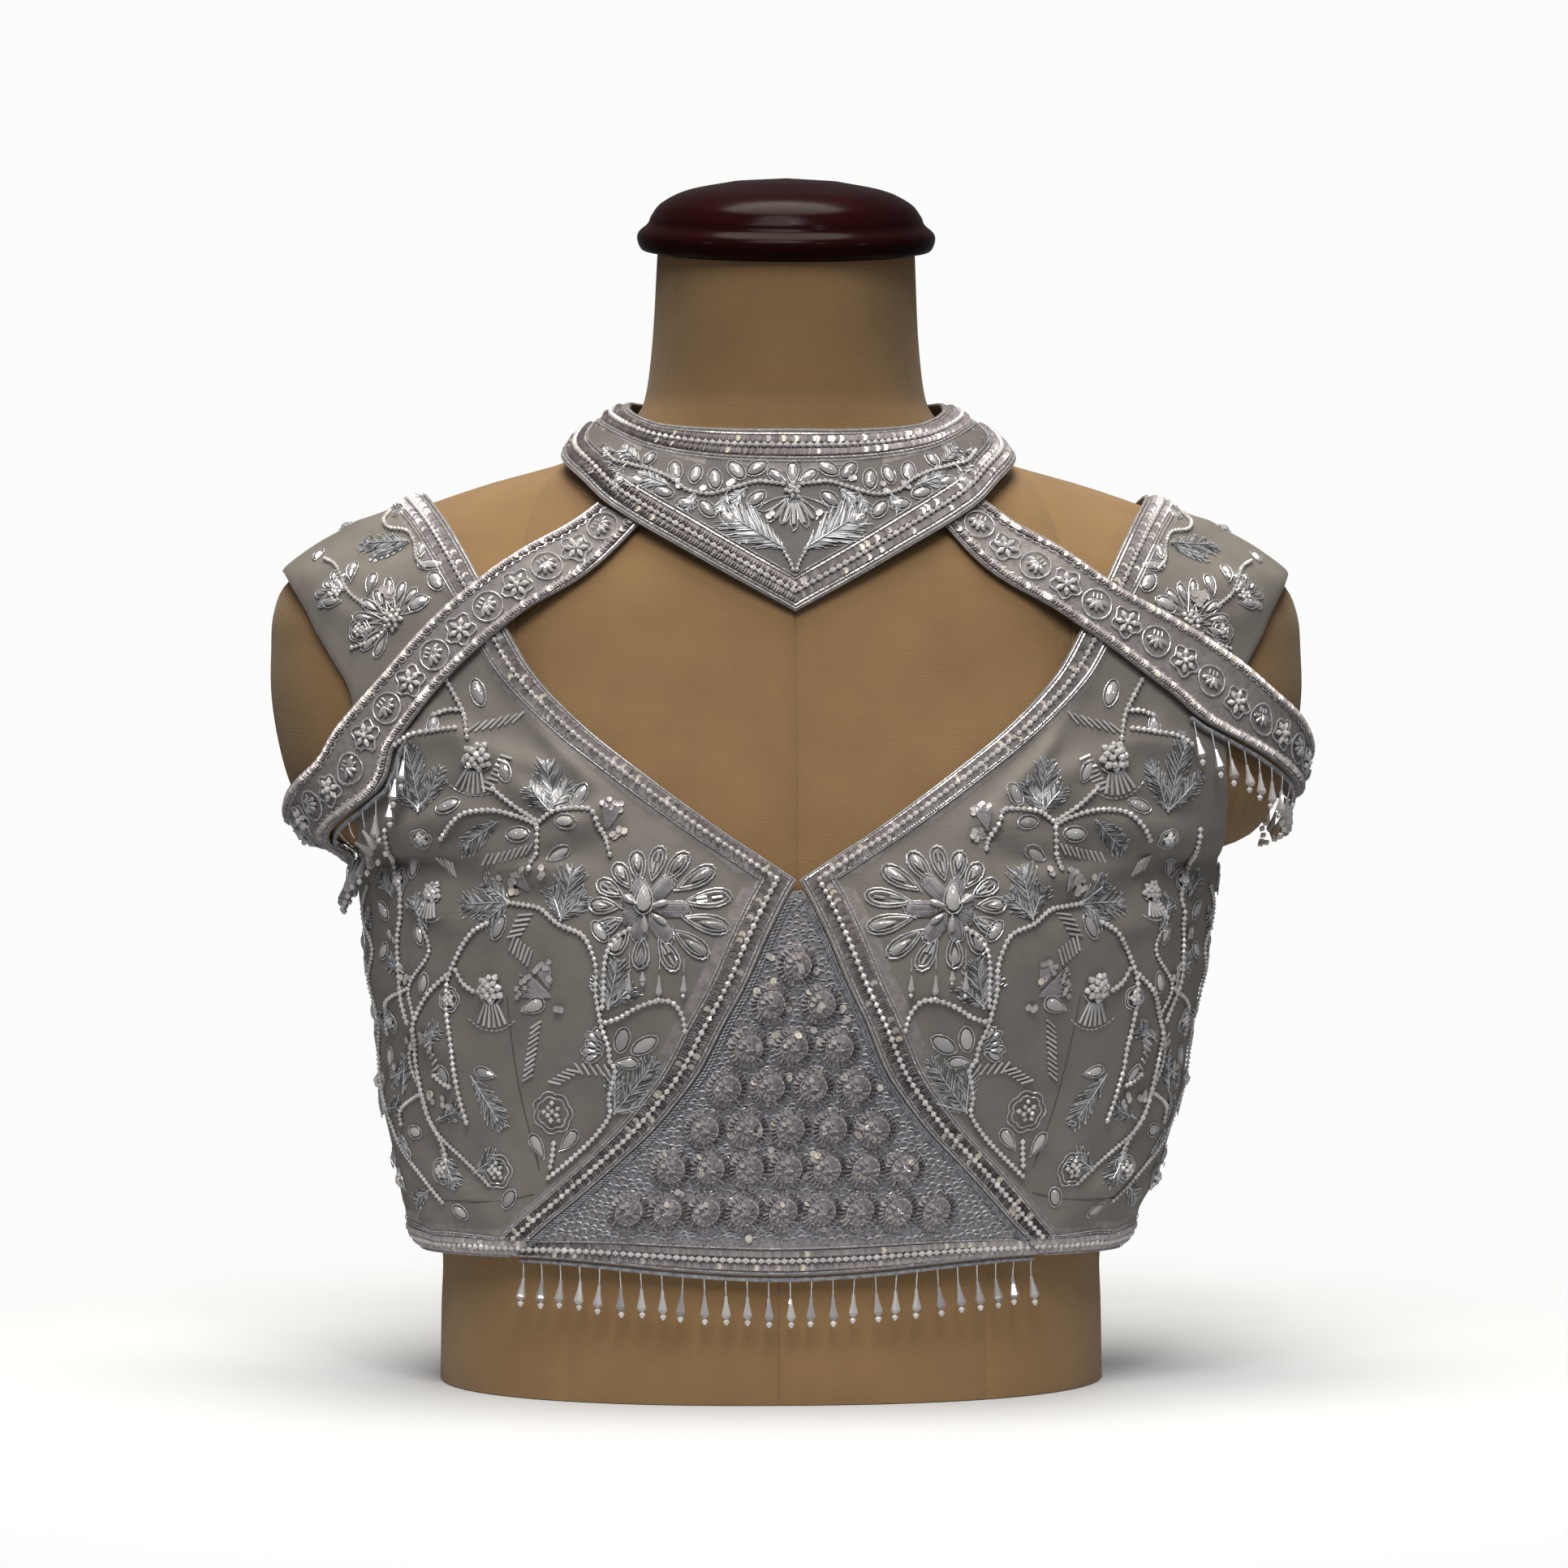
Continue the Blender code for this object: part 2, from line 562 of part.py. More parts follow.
def strap_path(front_rows, back_rows):
    """Upper and lower edge of a cross strap, from the collar's front round the arm to the collar's back.

    Each edge is one smooth curve of angle and height through the front rows and then the back rows.
    """
    front, back = np.asarray(front_rows, float), np.asarray(back_rows, float)
    edges = []
    for column in (0, 2):
        angle = np.concatenate(
            [
                angle_at(front[:, column], front[:, column + 1]),
                angle_at(back[-2::-1, column], back[-2::-1, column + 1], rear=True),
            ]
        )
        height = np.concatenate([front[:, column + 1], back[-2::-1, column + 1]])
        curve = smooth_rows(np.stack([angle, height], axis=-1))
        place = np.linspace(0, len(curve) - 1, STRAP_ALONG + 1)
        edges.append(np.stack([np.interp(place, np.arange(len(curve)), part) for part in curve.T], axis=-1))
    return edges


def stand_off(points):
    """Room between the eased body and a strap: little on the chest, more where it crosses a panel."""
    share = np.clip((np.abs(points[..., 0]) - STRAP_LIFT_FROM) / (STRAP_LIFT_TO - STRAP_LIFT_FROM), 0, 1)
    return STRAP_NEAR + (STRAP_FAR - STRAP_NEAR) * share * share * (3 - 2 * share)


def hung_outward(points):
    """Direction in which a hanging strap stands off: level on the arm and chest, square to the shoulder above."""
    direction = outward(points)
    share = np.clip((points[..., 2] - LEVEL_BELOW_Z) / (SQUARE_ABOVE_Z - LEVEL_BELOW_Z), 0, 1)
    direction[..., 2] *= share
    return direction / np.linalg.norm(direction, axis=-1, keepdims=True)


def cross_strap(name, side, path, finish):
    """Band between the two edges of path, set off the eased body by the strap's own room."""
    share = np.linspace(0, 1, STRAP_ACROSS + 1)[:, None, None]
    route = path[0] + (path[1] - path[0]) * share
    grid = on_body(route[..., 0], route[..., 1])
    direction = hung_outward(grid)
    room = stand_off(grid)[..., None]
    grid, direction = grid * [side, 1, 1], direction * [side, 1, 1]
    wall(name, grid + direction * (room + CLOTH), grid + direction * room, finish)


def walked(path):
    """Distance along a path of angles and heights on the eased body."""
    steps = np.linalg.norm(np.diff(on_body(path[:, 0], path[:, 1]), axis=0), axis=1)
    return np.concatenate([[0], np.cumsum(steps)])


def below(path, places, drop):
    """Angles and heights at these distances along a path, moved square to it and down by drop."""
    length = walked(path)
    angle, height = (np.interp(places, length, part) for part in path.T)
    radius = np.hypot(*on_body(angle, height)[:, :2].T)
    reach = 1.5
    ahead, behind = ([np.interp(places + way, length, part) for part in path.T] for way in (reach, -reach))
    run, climb = (ahead[0] - behind[0]) * radius, ahead[1] - behind[1]
    size = np.hypot(run, climb)
    return angle + drop * climb / size / radius, height - drop * run / size


def fringe(name, path, stops, rooms, facing, side, finish):
    """Bead strands fused into one narrow strip, which runs just below the edge that path follows.

    The strip is a closed bar with a cell at each stop. Each strand is that cell carried down the body.
    """
    margin = 2 * STRAND_ROOT
    roots = np.stack([stops - STRAND_ROOT, stops + STRAND_ROOT], axis=-1).ravel()
    places = np.concatenate([[roots[0] - margin], roots, [roots[-1] + margin]])
    bar = []
    for drop, lift in ((STRIP_GAP, 0), (STRIP_GAP, CLOTH), (STRIP_GAP + STRIP_DEPTH, CLOTH), (STRIP_GAP + STRIP_DEPTH, 0)):
        point = on_body(*below(path, places, drop))
        bar.append(point + facing(point) * (rooms(point) + lift)[:, None])
    bar = np.stack(bar, axis=1)
    points = [bar.reshape(-1, 3)]
    index = np.arange(len(places) * 4).reshape(-1, 4)
    faces = [tuple(index[0]), tuple(index[-1, ::-1])]
    for i in range(len(places) - 1):
        for a in range(4):
            if i % 2 == 1 and a == 2:
                continue
            b = (a + 1) % 4
            faces.append((index[i, b], index[i, a], index[i + 1, a], index[i + 1, b]))

    used = len(places) * 4
    root_angle, root_height = below(path, stops, STRIP_GAP + STRIP_DEPTH)
    for j in range(len(stops)):
        i = 2 * j + 1
        ring = [index[i, 3], index[i, 2], index[i + 1, 2], index[i + 1, 3]]
        tangent = (bar[i + 1, 2] - bar[i, 2]) * [1, 1, 0]
        tangent /= np.linalg.norm(tangent)
        square = np.array([tangent[1], -tangent[0], 0])
        for drop, half in STRAND_RINGS:
            point = on_body(root_angle[j : j + 1], root_height[j : j + 1] - drop)
            away = rooms(point)[0] + CLOTH / 2 + half + STRAND_SWING * drop
            centre = point[0] + facing(point)[0] * [1, 1, 0] * away
            corners = ((-1, -1), (-1, 1), (1, 1), (1, -1))
            points.append(np.array([centre + half * (s * tangent + n * square) for s, n in corners]))
            fresh = list(range(used, used + 4))
            used += 4
            for a in range(4):
                b = (a + 1) % 4
                faces.append((ring[a], ring[b], fresh[b], fresh[a]))
            ring = fresh
        faces.append(tuple(ring))
    add_object(name, np.vstack(points) * [side, 1, 1], faces, finish, smooth=False)


def hem_fringe(finish):
    x = np.linspace(-HEM_FRINGE_REACH, HEM_FRINGE_REACH, 120)
    angle = angle_at(x, np.full(x.shape, float(HEM_FRONT_Z)))
    path = np.stack([angle, hem_height(angle)], axis=-1)
    pitch = (walked(path)[-1] - 4 * STRAND_ROOT) / (HEM_STRANDS - 1)
    stops = 2 * STRAND_ROOT + np.arange(HEM_STRANDS) * pitch
    fringe("hem_fringe", path, stops, lambda point: 0 * point[..., 0], outward, 1, finish)


def strap_fringe(name, side, path, finish):
    """Strands spaced evenly along the strap's lower edge, from the chest round to the back."""
    lower = path[1]
    reach = walked(lower)
    hung = reach[np.abs(on_body(lower[:, 0], lower[:, 1])[:, 0]) > STRAP_FRINGE_FROM_X]
    count = int((hung[-1] - hung[0]) / STRAP_STRAND_PITCH)
    stops = hung[0] + (np.arange(count) + 0.5) * (hung[-1] - hung[0]) / count
    fringe(name, lower, stops, stand_off, hung_outward, side, finish)


def hook(name, seat, direction, finish):
    """Plain bar with softened edges that closes an opening, laid a seam's gap above the cloth."""
    width, tall, thick = HOOK_SIZE
    direction = direction / np.linalg.norm(direction)
    across = np.array([1.0, 0, 0])
    up = np.cross(direction, across)
    up /= np.linalg.norm(up)
    points = []
    for level, inset in ((0, 0.0), (thick * 0.6, 0.0), (thick, 0.5)):
        for s, t in ((-1, -1), (1, -1), (1, 1), (-1, 1)):
            place = across * s * (width / 2 - inset) + up * t * (tall / 2 - inset)
            points.append(seat + direction * (SEAM + level) + place)
    faces = [(3, 2, 1, 0), (8, 9, 10, 11)]
    for base in (0, 4):
        faces += [(base + a, base + (a + 1) % 4, base + 4 + (a + 1) % 4, base + 4 + a) for a in range(4)]
    add_object(name, points, faces, finish, smooth=False)


def back_hooks(finish):
    for number, height in enumerate(BACK_HOOK_HEIGHTS, 1):
        point = on_body(np.array([math.pi]), np.array([float(height)]))
        direction = outward(point)
        clear = CLOTH + (BORDER_RISE if height < HEM_BACK_Z + HEM_BORDER + BORDER_STEP else 0)
        hook(f"back_hook_{number}", point[0] + direction[0] * (clear + BORDER_RISE), direction[0], finish)


def main():
    for existing in list(bpy.data.objects):
        bpy.data.objects.remove(existing)
    canvas = material("canvas", (0.29, 0.18, 0.09), 0.85)
    lacquer = material("lacquer", (0.05, 0.008, 0.008), 0.15)
    crepe = material("crepe", (0.26, 0.23, 0.2), 0.55)
    beads = material("beads", (0.6, 0.58, 0.58), 0.2)
    metal = material("metal", (0.55, 0.55, 0.56), 0.3, 1.0)

    dress_form(canvas)
    neck_cap(lacquer)
    front_panels(crepe)
    centre_panel(crepe)
    back_panels(crepe)
    seat, direction = collar(crepe)
    hook("collar_hook", seat, direction * [0, 1, 1], metal)
    back_hooks(metal)
    for name, side, front_rows, back_rows in (
        ("left", -1, LEFT_FRONT_ROWS, LEFT_BACK_ROWS),
        ("right", 1, RIGHT_FRONT_ROWS, RIGHT_BACK_ROWS),
    ):
        path = strap_path(front_rows, back_rows)
        cross_strap(f"cross_strap_{name}", side, path, crepe)
        strap_fringe(f"strap_fringe_{name}", side, path, beads)
    hem_fringe(beads)


main()
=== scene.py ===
"""Looks of the beaded choli blouse and its dress form.

Sizes are in millimetres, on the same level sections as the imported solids. +Z is up and the front faces -Y.
Each cloth piece is a thin shell on its solid's form. Beads, threads and crystals are laid on grounds: a
ground is a function of two places that gives points of the cloth.
"""

import math

import bpy
import mathutils
import numpy as np
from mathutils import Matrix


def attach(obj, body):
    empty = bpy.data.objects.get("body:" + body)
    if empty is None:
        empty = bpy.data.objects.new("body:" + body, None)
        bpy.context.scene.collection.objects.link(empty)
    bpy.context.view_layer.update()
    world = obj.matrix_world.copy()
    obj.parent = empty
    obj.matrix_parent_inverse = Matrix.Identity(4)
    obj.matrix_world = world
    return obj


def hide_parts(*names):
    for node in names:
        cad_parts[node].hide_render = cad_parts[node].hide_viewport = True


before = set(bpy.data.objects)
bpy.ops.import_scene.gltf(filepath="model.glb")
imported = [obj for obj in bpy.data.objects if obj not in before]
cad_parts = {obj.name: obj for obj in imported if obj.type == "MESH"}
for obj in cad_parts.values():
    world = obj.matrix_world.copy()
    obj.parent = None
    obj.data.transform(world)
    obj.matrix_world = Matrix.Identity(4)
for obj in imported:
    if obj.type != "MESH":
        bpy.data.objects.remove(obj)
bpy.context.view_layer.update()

MM = 0.001
SMALLEST = 1e-6

# Thickness of the solids' cloth, thickness of its visible shell, and room at each seam
CLOTH = 2.0
SHELL = 1.0
SEAM = 0.3
# Raised bead border: its width, its rise, and the width of the step beside it
BORDER_WIDTH = 15.0
BORDER_RISE = 0.8
BORDER_STEP = 2.0

# Level sections of the body: the form's sizes, then the room that the cloth has over it.
# height, half_width, front, back, squareness, side_ease, front_ease, back_ease
SECTION_ROWS = (
    (0, 136, -98, 92, 2.3, 2.2, 2.5, 2.0),
    (30, 135.5, -97, 91, 2.3, 2.2, 2.5, 2.0),
    (50, 135, -98, 91, 2.3, 4.0, 2.5, 2.0),
    (64, 138, -99, 91.5, 2.3, 8.0, 3.0, 2.5),
    (80, 143, -100, 92, 2.3, 9.5, 3.0, 3.0),
    (110, 150.5, -102, 94, 2.3, 9.5, 3.0, 3.0),
    (145, 157, -104, 97, 2.3, 8.5, 3.0, 3.0),
    (180, 163, -104, 99, 2.3, 8.5, 3.0, 3.0),
    (205, 167, -103, 100, 2.3, 8.0, 2.5, 3.0),
    (213, 170, -102.5, 100, 2.3, 6.5, 2.3, 2.5),
    (217.5, 182, -102, 100, 2.3, 5.0, 2.2, 2.6),
    (223, 192, -101.7, 100, 2.3, 3.7, 2.0, 2.7),
    (232, 199, -101, 99, 2.3, 2.6, 1.8, 2.1),
    (245, 205.5, -99.5, 98, 2.3, 1.8, 1.5, 1.5),
    (262, 210, -97, 97, 2.25, 1.2, 1.2, 1.2),
    (280, 212.5, -94, 95, 2.2, 1.0, 1.0, 1.0),
    (297, 212.5, -91, 93, 2.15, 1.1, 1.2, 1.2),
    (312, 211.5, -88, 90, 2.1, 1.3, 1.3, 1.3),
    (325, 206, -84.5, 88, 2.0, 4.0, 1.4, 1.4),
    (338, 189, -80, 84, 1.85, 6.0, 1.2, 1.2),
    (348, 171, -77, 80, 1.75, 5.5, 1.0, 1.0),
    (357, 149, -74.5, 76, 1.7, 4.5, 0.8, 0.8),
    (366, 122, -72, 71, 1.7, 3.0, 0.8, 0.8),
    (374, 93, -69, 66, 1.75, 2.0, 0.8, 0.8),
    (383, 72, -66, 61, 1.85, 1.0, 1.0, 1.0),
    (393, 62, -65, 56, 1.95, 1.0, 1.0, 1.0),
    (402, 57.5, -65, 53, 2.0, 1.0, 1.0, 1.0),
    (425, 54.5, -69, 45, 2.0, 1.0, 1.0, 1.0),
    (459, 52.5, -77, 33, 2.0, 1.0, 1.0, 1.0),
)
# The two mounds of the bust: middle, forward swell, and spread sideways, above and below
BUST_X, BUST_Z = 72, 172
BUST_SWELL = 20
BUST_SPREAD, BUST_ABOVE, BUST_BELOW = 42, 48, 36
# The neck leans more and more from one height to the other
NECK_TILT_DEG = 10.5
TILT_FROM, TILT_TO = 383, 459

# Sideways shift of the whole figure. height, shift
LEAN_ROWS = (
    (0, -5.4), (62, -5.2), (80, -3.4), (97, -1.8), (130, -0.6), (164, 0.8), (205, 1.4), (250, 1.6),
    (330, 1.2), (400, 0.3), (500, 0),
)

# Height of the hem round the body. angle_deg from the front centre, height
HEM_ROWS = ((-20, 53), (0, 51.5), (20, 53), (45, 57), (62, 57), (90, 54.5), (135, 54), (180, 54))
HEM_FRONT_Z = 52
# Edges of the panels. x, height
CENTRE_SEAM_ROWS = (
    (103.5, 57), (83.8, 76.5), (68.5, 92), (54, 107), (44.5, 119), (35.4, 132.6),
    (27.5, 150), (19.4, 165.8), (11.6, 183.3), (4.2, 198), (0.1, 205),
)
NECKLINE_ROWS = (
    (0.1, 205), (28, 223), (55.5, 243), (81, 263.5), (101, 284.4), (113.5, 305.5),
    (125, 325), (136.5, 346), (147, 363),
)
BACK_NECKLINE_ROWS = (
    (0.1, 232), (32, 236), (62, 248), (86, 268), (103, 290), (115, 308),
    (126, 326), (137, 346), (147, 363),
)
ARMHOLE_ROWS = (
    (176, 206), (174, 213), (172.5, 222), (173, 236), (172, 250), (173, 265), (176, 280),
    (183, 292), (191, 305), (200, 319), (206.5, 331),
)
UNDERARM_Z = 206
STRAP_FROM_Z = 303
# Length along the cloth for each millimetre straight across, round the body and over the shoulder
ROUND_STRETCH, SHOULDER_STRETCH = 1.12, 1.3
CENTRE_PANEL_TOP = 0.972

# Soft folds of the worn cloth. x1, z1, x2, z2, spread, rise. A trough has a negative rise.
FRONT_FOLDS = (
    (-156, 226, -104, 238, 6, 2.2),
    (-170, 214, -128, 212, 5, -0.8),
    (-150, 180, -112, 96, 5, 1.4),
    (-160, 120, -128, 74, 6, 1.8),
    (-166, 168, -140, 150, 5, 1.6),
    (156, 224, 108, 232, 6, 2.0),
    (170, 208, 130, 206, 5, -0.8),
    (148, 184, 114, 98, 5, 1.3),
    (158, 126, 126, 80, 6, 1.6),
    (165, 172, 142, 158, 5, 1.5),
)
BACK_FOLDS = (
    (-150, 200, -70, 186, 7, 2.0),
    (-150, 120, -74, 98, 7, 1.6),
    (152, 196, 76, 178, 7, 2.0),
    (148, 112, 78, 92, 7, 1.6),
)
# Small creases between the folds. x1, z1, x2, z2, spread, rise
FRONT_CREASES = (
    (-160, 231, -132, 240, 3.2, -0.5), (-132, 240, -100, 232, 3.2, -0.5), (-150, 219, -108, 227, 3.4, -0.5),
    (-112, 246, -84, 226, 3.2, 0.6), (-98, 262, -78, 240, 2.8, 0.5), (-124, 214, -84, 206, 3.4, 0.5),
    (-136, 204, -96, 198, 3.0, -0.4), (-152, 196, -128, 186, 2.8, 0.5), (-158, 158, -134, 136, 3.0, 0.6),
    (-148, 106, -118, 84, 3.0, -0.5), (-134, 96, -112, 72, 3.2, 0.6), (-150, 90, -132, 66, 2.6, 0.6),
    (-190, 318, -168, 306, 3.0, 0.3), (-198, 326, -170, 326, 3.0, 0.3), (-178, 346, -150, 342, 3.2, 0.3),
    (-142, 272, -150, 250, 3.0, 0.4), (-158, 258, -128, 263, 3.0, 0.7), (-130, 256, -98, 246, 4.0, 0.7),
    (-122, 250, -92, 240, 3.4, -0.6), (-158, 219, -128, 213, 3.2, 0.5), (-156, 213, -126, 206, 3.2, -0.3),
    (-94, 220, -74, 234, 3.2, 0.7), (-88, 212, -70, 226, 3.0, -0.6), (-104, 206, -84, 214, 3.0, 0.5),
    (-116, 288, -96, 262, 3.4, 0.5), (-108, 280, -88, 256, 3.2, -0.4),
    (160, 229, 130, 236, 3.2, -0.5), (130, 236, 98, 229, 3.2, -0.4), (152, 214, 112, 222, 3.4, -0.5),
    (110, 244, 82, 228, 3.2, 0.5), (100, 258, 80, 236, 2.6, 0.6), (126, 210, 88, 203, 3.4, 0.4),
    (138, 200, 98, 192, 3.0, -0.5), (154, 192, 126, 184, 2.6, 0.5), (156, 154, 132, 130, 3.0, 0.5),
    (150, 110, 120, 88, 3.0, -0.4), (136, 92, 110, 70, 3.0, 0.6), (152, 86, 130, 64, 2.6, 0.5),
    (192, 316, 170, 308, 3.0, 0.3), (198, 324, 170, 324, 3.0, 0.3), (176, 348, 150, 340, 3.0, 0.3),
    (144, 270, 152, 248, 3.0, 0.4), (156, 256, 130, 260, 3.0, 0.6), (128, 254, 98, 243, 4.0, 0.6),
    (120, 247, 92, 237, 3.4, -0.6), (156, 217, 128, 211, 3.2, 0.5), (154, 211, 126, 204, 3.2, -0.3),
    (92, 218, 72, 231, 3.2, 0.6), (87, 210, 70, 223, 3.0, -0.6), (104, 203, 84, 211, 3.0, 0.5),
    (116, 285, 97, 260, 3.4, 0.5), (108, 277, 88, 254, 3.2, -0.4),
)
BACK_CREASES = (
    (-160, 214, -96, 206, 3.2, 0.6), (-156, 176, -90, 160, 3.4, -0.6), (-148, 150, -104, 138, 3.0, 0.5),
    (-140, 92, -88, 74, 3.2, 0.6), (-120, 240, -92, 214, 3.4, 0.5), (-168, 320, -146, 296, 3.0, 0.5),
    (160, 212, 100, 202, 3.2, 0.6), (154, 170, 92, 158, 3.4, -0.5), (150, 146, 100, 134, 3.0, 0.5),
    (142, 88, 92, 70, 3.2, 0.5), (122, 236, 90, 218, 3.4, 0.5), (170, 322, 148, 298, 3.0, 0.5),
)
# Half share of a fold that keeps its full rise, how its ends fade, and how deep the creases are
FOLD_FULL, FOLD_FADE = 0.35, 0.22
CREASE_DEPTH = 3.9
FRONT_RELIEF = FRONT_FOLDS + tuple((*row[:5], row[5] * CREASE_DEPTH) for row in FRONT_CREASES)
BACK_RELIEF = BACK_FOLDS + tuple((*row[:5], row[5] * CREASE_DEPTH) for row in BACK_CREASES)

# Padded rosettes on the centre panel. height, count, spacing
ROSETTE_ROWS = (
    (172.5, 1, 0), (158, 2, 20), (141.5, 3, 17.7), (126, 4, 16.8), (109.5, 5, 16.5),
    (93.5, 7, 15), (76.5, 9, 14.8),
)
ROSETTE_RADIUS = 8.4
ROSETTE_RISE = 3.4
# Rings of tipped sequins on a rosette. radius, count, half_size, tip_deg
ROSETTE_RINGS = ((6.3, 26, 1.55, 60), (2.9, 11, 1.35, 52))

# Collar band. angle_deg, edge_height, edge_stand_off, top_height, top_stand_off
COLLAR_ROWS = (
    (0, 309.5, 0.8, 382.5, 2.6),
    (22.4, 328, 3.2, 382.5, 2.6),
    (45, 348, 4.6, 384, 2.8),
    (58, 361.5, 4.8, 387, 3.0),
    (75, 372.5, 5.0, 392, 3.2),
    (90, 377, 4.8, 396, 3.2),
    (112, 374, 4.8, 398, 3.0),
    (135, 370, 4.6, 399, 2.8),
    (180, 367, 4.2, 399.5, 2.8),
)
COLLAR_BULGE = 1.2
COLLAR_BACK_Z, COLLAR_BACK_GAP = 405, 0.2
COLLAR_AROUND, COLLAR_DOWN = 240, 16
# Columns of the collar's grid between which the upper border has all its rows
COLLAR_FRONT = slice(34, 207)

# Edges of the cross straps. upper_x, upper_z, lower_x, lower_z
RIGHT_FRONT_ROWS = (
    (76, 355, 58.9, 345.2), (99, 338, 75, 327.5), (124.5, 321, 97, 313.4),
    (151.5, 307, 121, 297.5), (175.5, 292.5, 145, 280.2), (198, 275, 171, 262.2),
    (220, 256, 220, 236),
)
RIGHT_BACK_ROWS = (
    (80, 370, 56, 366), (101, 354, 78, 348), (126, 335, 100, 328), (151, 317, 124, 308),
    (176, 297, 149, 286), (199, 276, 175, 262), (220, 256, 220, 236),
)
LEFT_FRONT_ROWS = (
    (77, 353, 60.5, 344.6), (104, 334, 79, 326.5), (137, 311, 107.5, 307.7),
    (160.5, 286, 134, 285), (179, 265, 154, 260), (191, 248, 166.5, 236), (205, 230, 205, 209),
)
LEFT_BACK_ROWS = (
    (80, 370, 56, 366), (106, 350, 82, 345), (138, 324, 110, 319), (164, 298, 136, 292),
    (182, 272, 156, 264), (193, 250, 168, 237), (205, 230, 205, 209),
)
# Room below a strap near the collar and beyond, and where it grows and turns level
STRAP_NEAR, STRAP_FAR = 0.4, 3.5
STRAP_LIFT_FROM, STRAP_LIFT_TO = 84, 106
LEVEL_BELOW_Z, SQUARE_ABOVE_Z = 268, 300
# Fringes: half width of a strand's root, their strip, and how far the strands swing out
STRAND_ROOT = 0.8
STRIP_DEPTH, STRIP_GAP = 2.2, 1.0
STRAND_SWING = 0.17
HEM_STRANDS, HEM_FRINGE_REACH = 26, 100
STRAP_STRAND_PITCH = 8.2
STRAP_FRINGE_FROM_X = 150

# Turned cap on the neck. radius, height above its seat
CAP_PROFILE = (
    (53, 0), (58.5, 0.8), (60.6, 4.5), (60.2, 8), (56.4, 11.5), (54.8, 15), (50.5, 20), (40, 25), (22, 28.5),
)
CAP_CENTRE_HEIGHT = 30
CAP_SIDES = 96

# Seams of the canvas cover, on the front and on the back. x, height
FORM_SEAM_ROWS = ((82, 0), (84, 60), (96, 150), (105, 230), (110, 300), (107, 340), (100, 362), (92, 372))
FORM_BACK_SEAM_ROWS = (
    (80, 0), (82, 60), (92, 150), (100, 230), (106, 300), (104, 340), (98, 362), (90, 372),
)
# Above the shoulders the seams swing to these angles in radians
NECK_SEAM_ANGLE, NECK_BACK_SEAM_ANGLE = 1.0, 2.1
NECK_SEAM_FROM, NECK_SEAM_OVER = 366, 22
GROOVE_HALF_WIDTH, GROOVE_DEPTH = 0.9, 0.45
COVER_GAP = 0.05

# Beadwork of a border, from the edge inwards.
# distance, kind, pitch, half_length, half_width, half_height, tip_deg
BORDER_TRIM = (
    (1.0, "seed", 1.7, 0.8, 0.75, 0.75, 0),
    (2.5, "bugle", 2.3, 1.0, 0.42, 0.42, 0),
    (4.8, "sequin", 1.2, 1.5, 1.5, 1.5, 48),
    (7.6, "pearl", 3.0, 1.36, 1.36, 1.36, 0),
    (10.4, "sequin", 1.2, 1.5, 1.5, 1.5, 48),
    (12.8, "bugle", 2.3, 1.0, 0.42, 0.42, 0),
    (14.3, "seed", 1.8, 0.8, 0.7, 0.7, 0),
)
HEM_TRIM = (
    (1.2, "bugle", 2.3, 1.0, 0.42, 0.42, 0),
    (3.4, "sequin", 1.2, 1.45, 1.45, 1.45, 44),
    (6.1, "pearl", 3.0, 1.36, 1.36, 1.36, 0),
    (8.8, "sequin", 1.2, 1.4, 1.4, 1.4, 48),
    (10.9, "bugle", 2.3, 1.0, 0.4, 0.4, 0),
)
STRAP_TRIM = (
    (1.0, "bugle", 2.3, 1.0, 0.4, 0.4, 0),
    (3.0, "sequin", 1.2, 1.5, 1.5, 1.5, 44),
    (5.0, "bugle", 1.9, 0.9, 0.42, 0.42, 34),
)

# Beads of the rings are this much larger than their tables say
RING_PITCH, RING_BEAD = 1.22, 1.22

# Twisted cord at the centre panel's seams: distances from the seam, shares of its height, length of one turn
CORD_OFFSETS = (0.9, 2.3)
CORD_SHARES = (0.015, 0.955)
CORD_TURN = 3.0
CORD_STRAND, CORD_WIND, CORD_RISE = 0.34, 0.38, 0.75
# Waist dart, and the short seam that crosses to the side. x, height
DART_ROWS = (((111, 160), (108, 140), (103.5, 118), (96, 92)), ((97, 82), (110, 79), (134, 78)))


def smooth_rows(rows, steps=24):
    """Catmull-Rom curve that passes through every row of a table, with this many points per span."""
    table = np.asarray(rows, float)
    padded = np.vstack([2 * table[0] - table[1], table, 2 * table[-1] - table[-2]])
    t = np.linspace(0, 1, steps, endpoint=False)[:, None]
    spans = []
    for i in range(len(table) - 1):
        a, b, c, d = padded[i : i + 4]
        cubic = (3 * b - a - 3 * c + d) * t**3
        spans.append(0.5 * (2 * b + (c - a) * t + (2 * a - 5 * b + 4 * c - d) * t**2 + cubic))
    return np.vstack([*spans, table[-1:]])


SECTIONS = smooth_rows(SECTION_ROWS)
LEANS = smooth_rows(LEAN_ROWS)
HEMS = smooth_rows(HEM_ROWS)


def unit(vectors):
    """Each vector divided by its length."""
    return vectors / np.maximum(np.linalg.norm(vectors, axis=-1, keepdims=True), 1e-9)


def smooth_step(share):
    """Three times the square less twice the cube of a share from 0 to 1."""
    share = np.clip(share, 0, 1)
    return share * share * (3 - 2 * share)


def measures(height, ease):
    """Half width, half depth, middle and squareness of the level section, with this share of the ease."""
    half_width, front, back, squareness, side, chest, spine = (
        np.interp(height, SECTIONS[:, 0], column) for column in SECTIONS.T[1:]
    )
    front = front - ease * chest
    back = back + ease * spine
    return half_width + ease * side, (back - front) / 2, (back + front) / 2, squareness


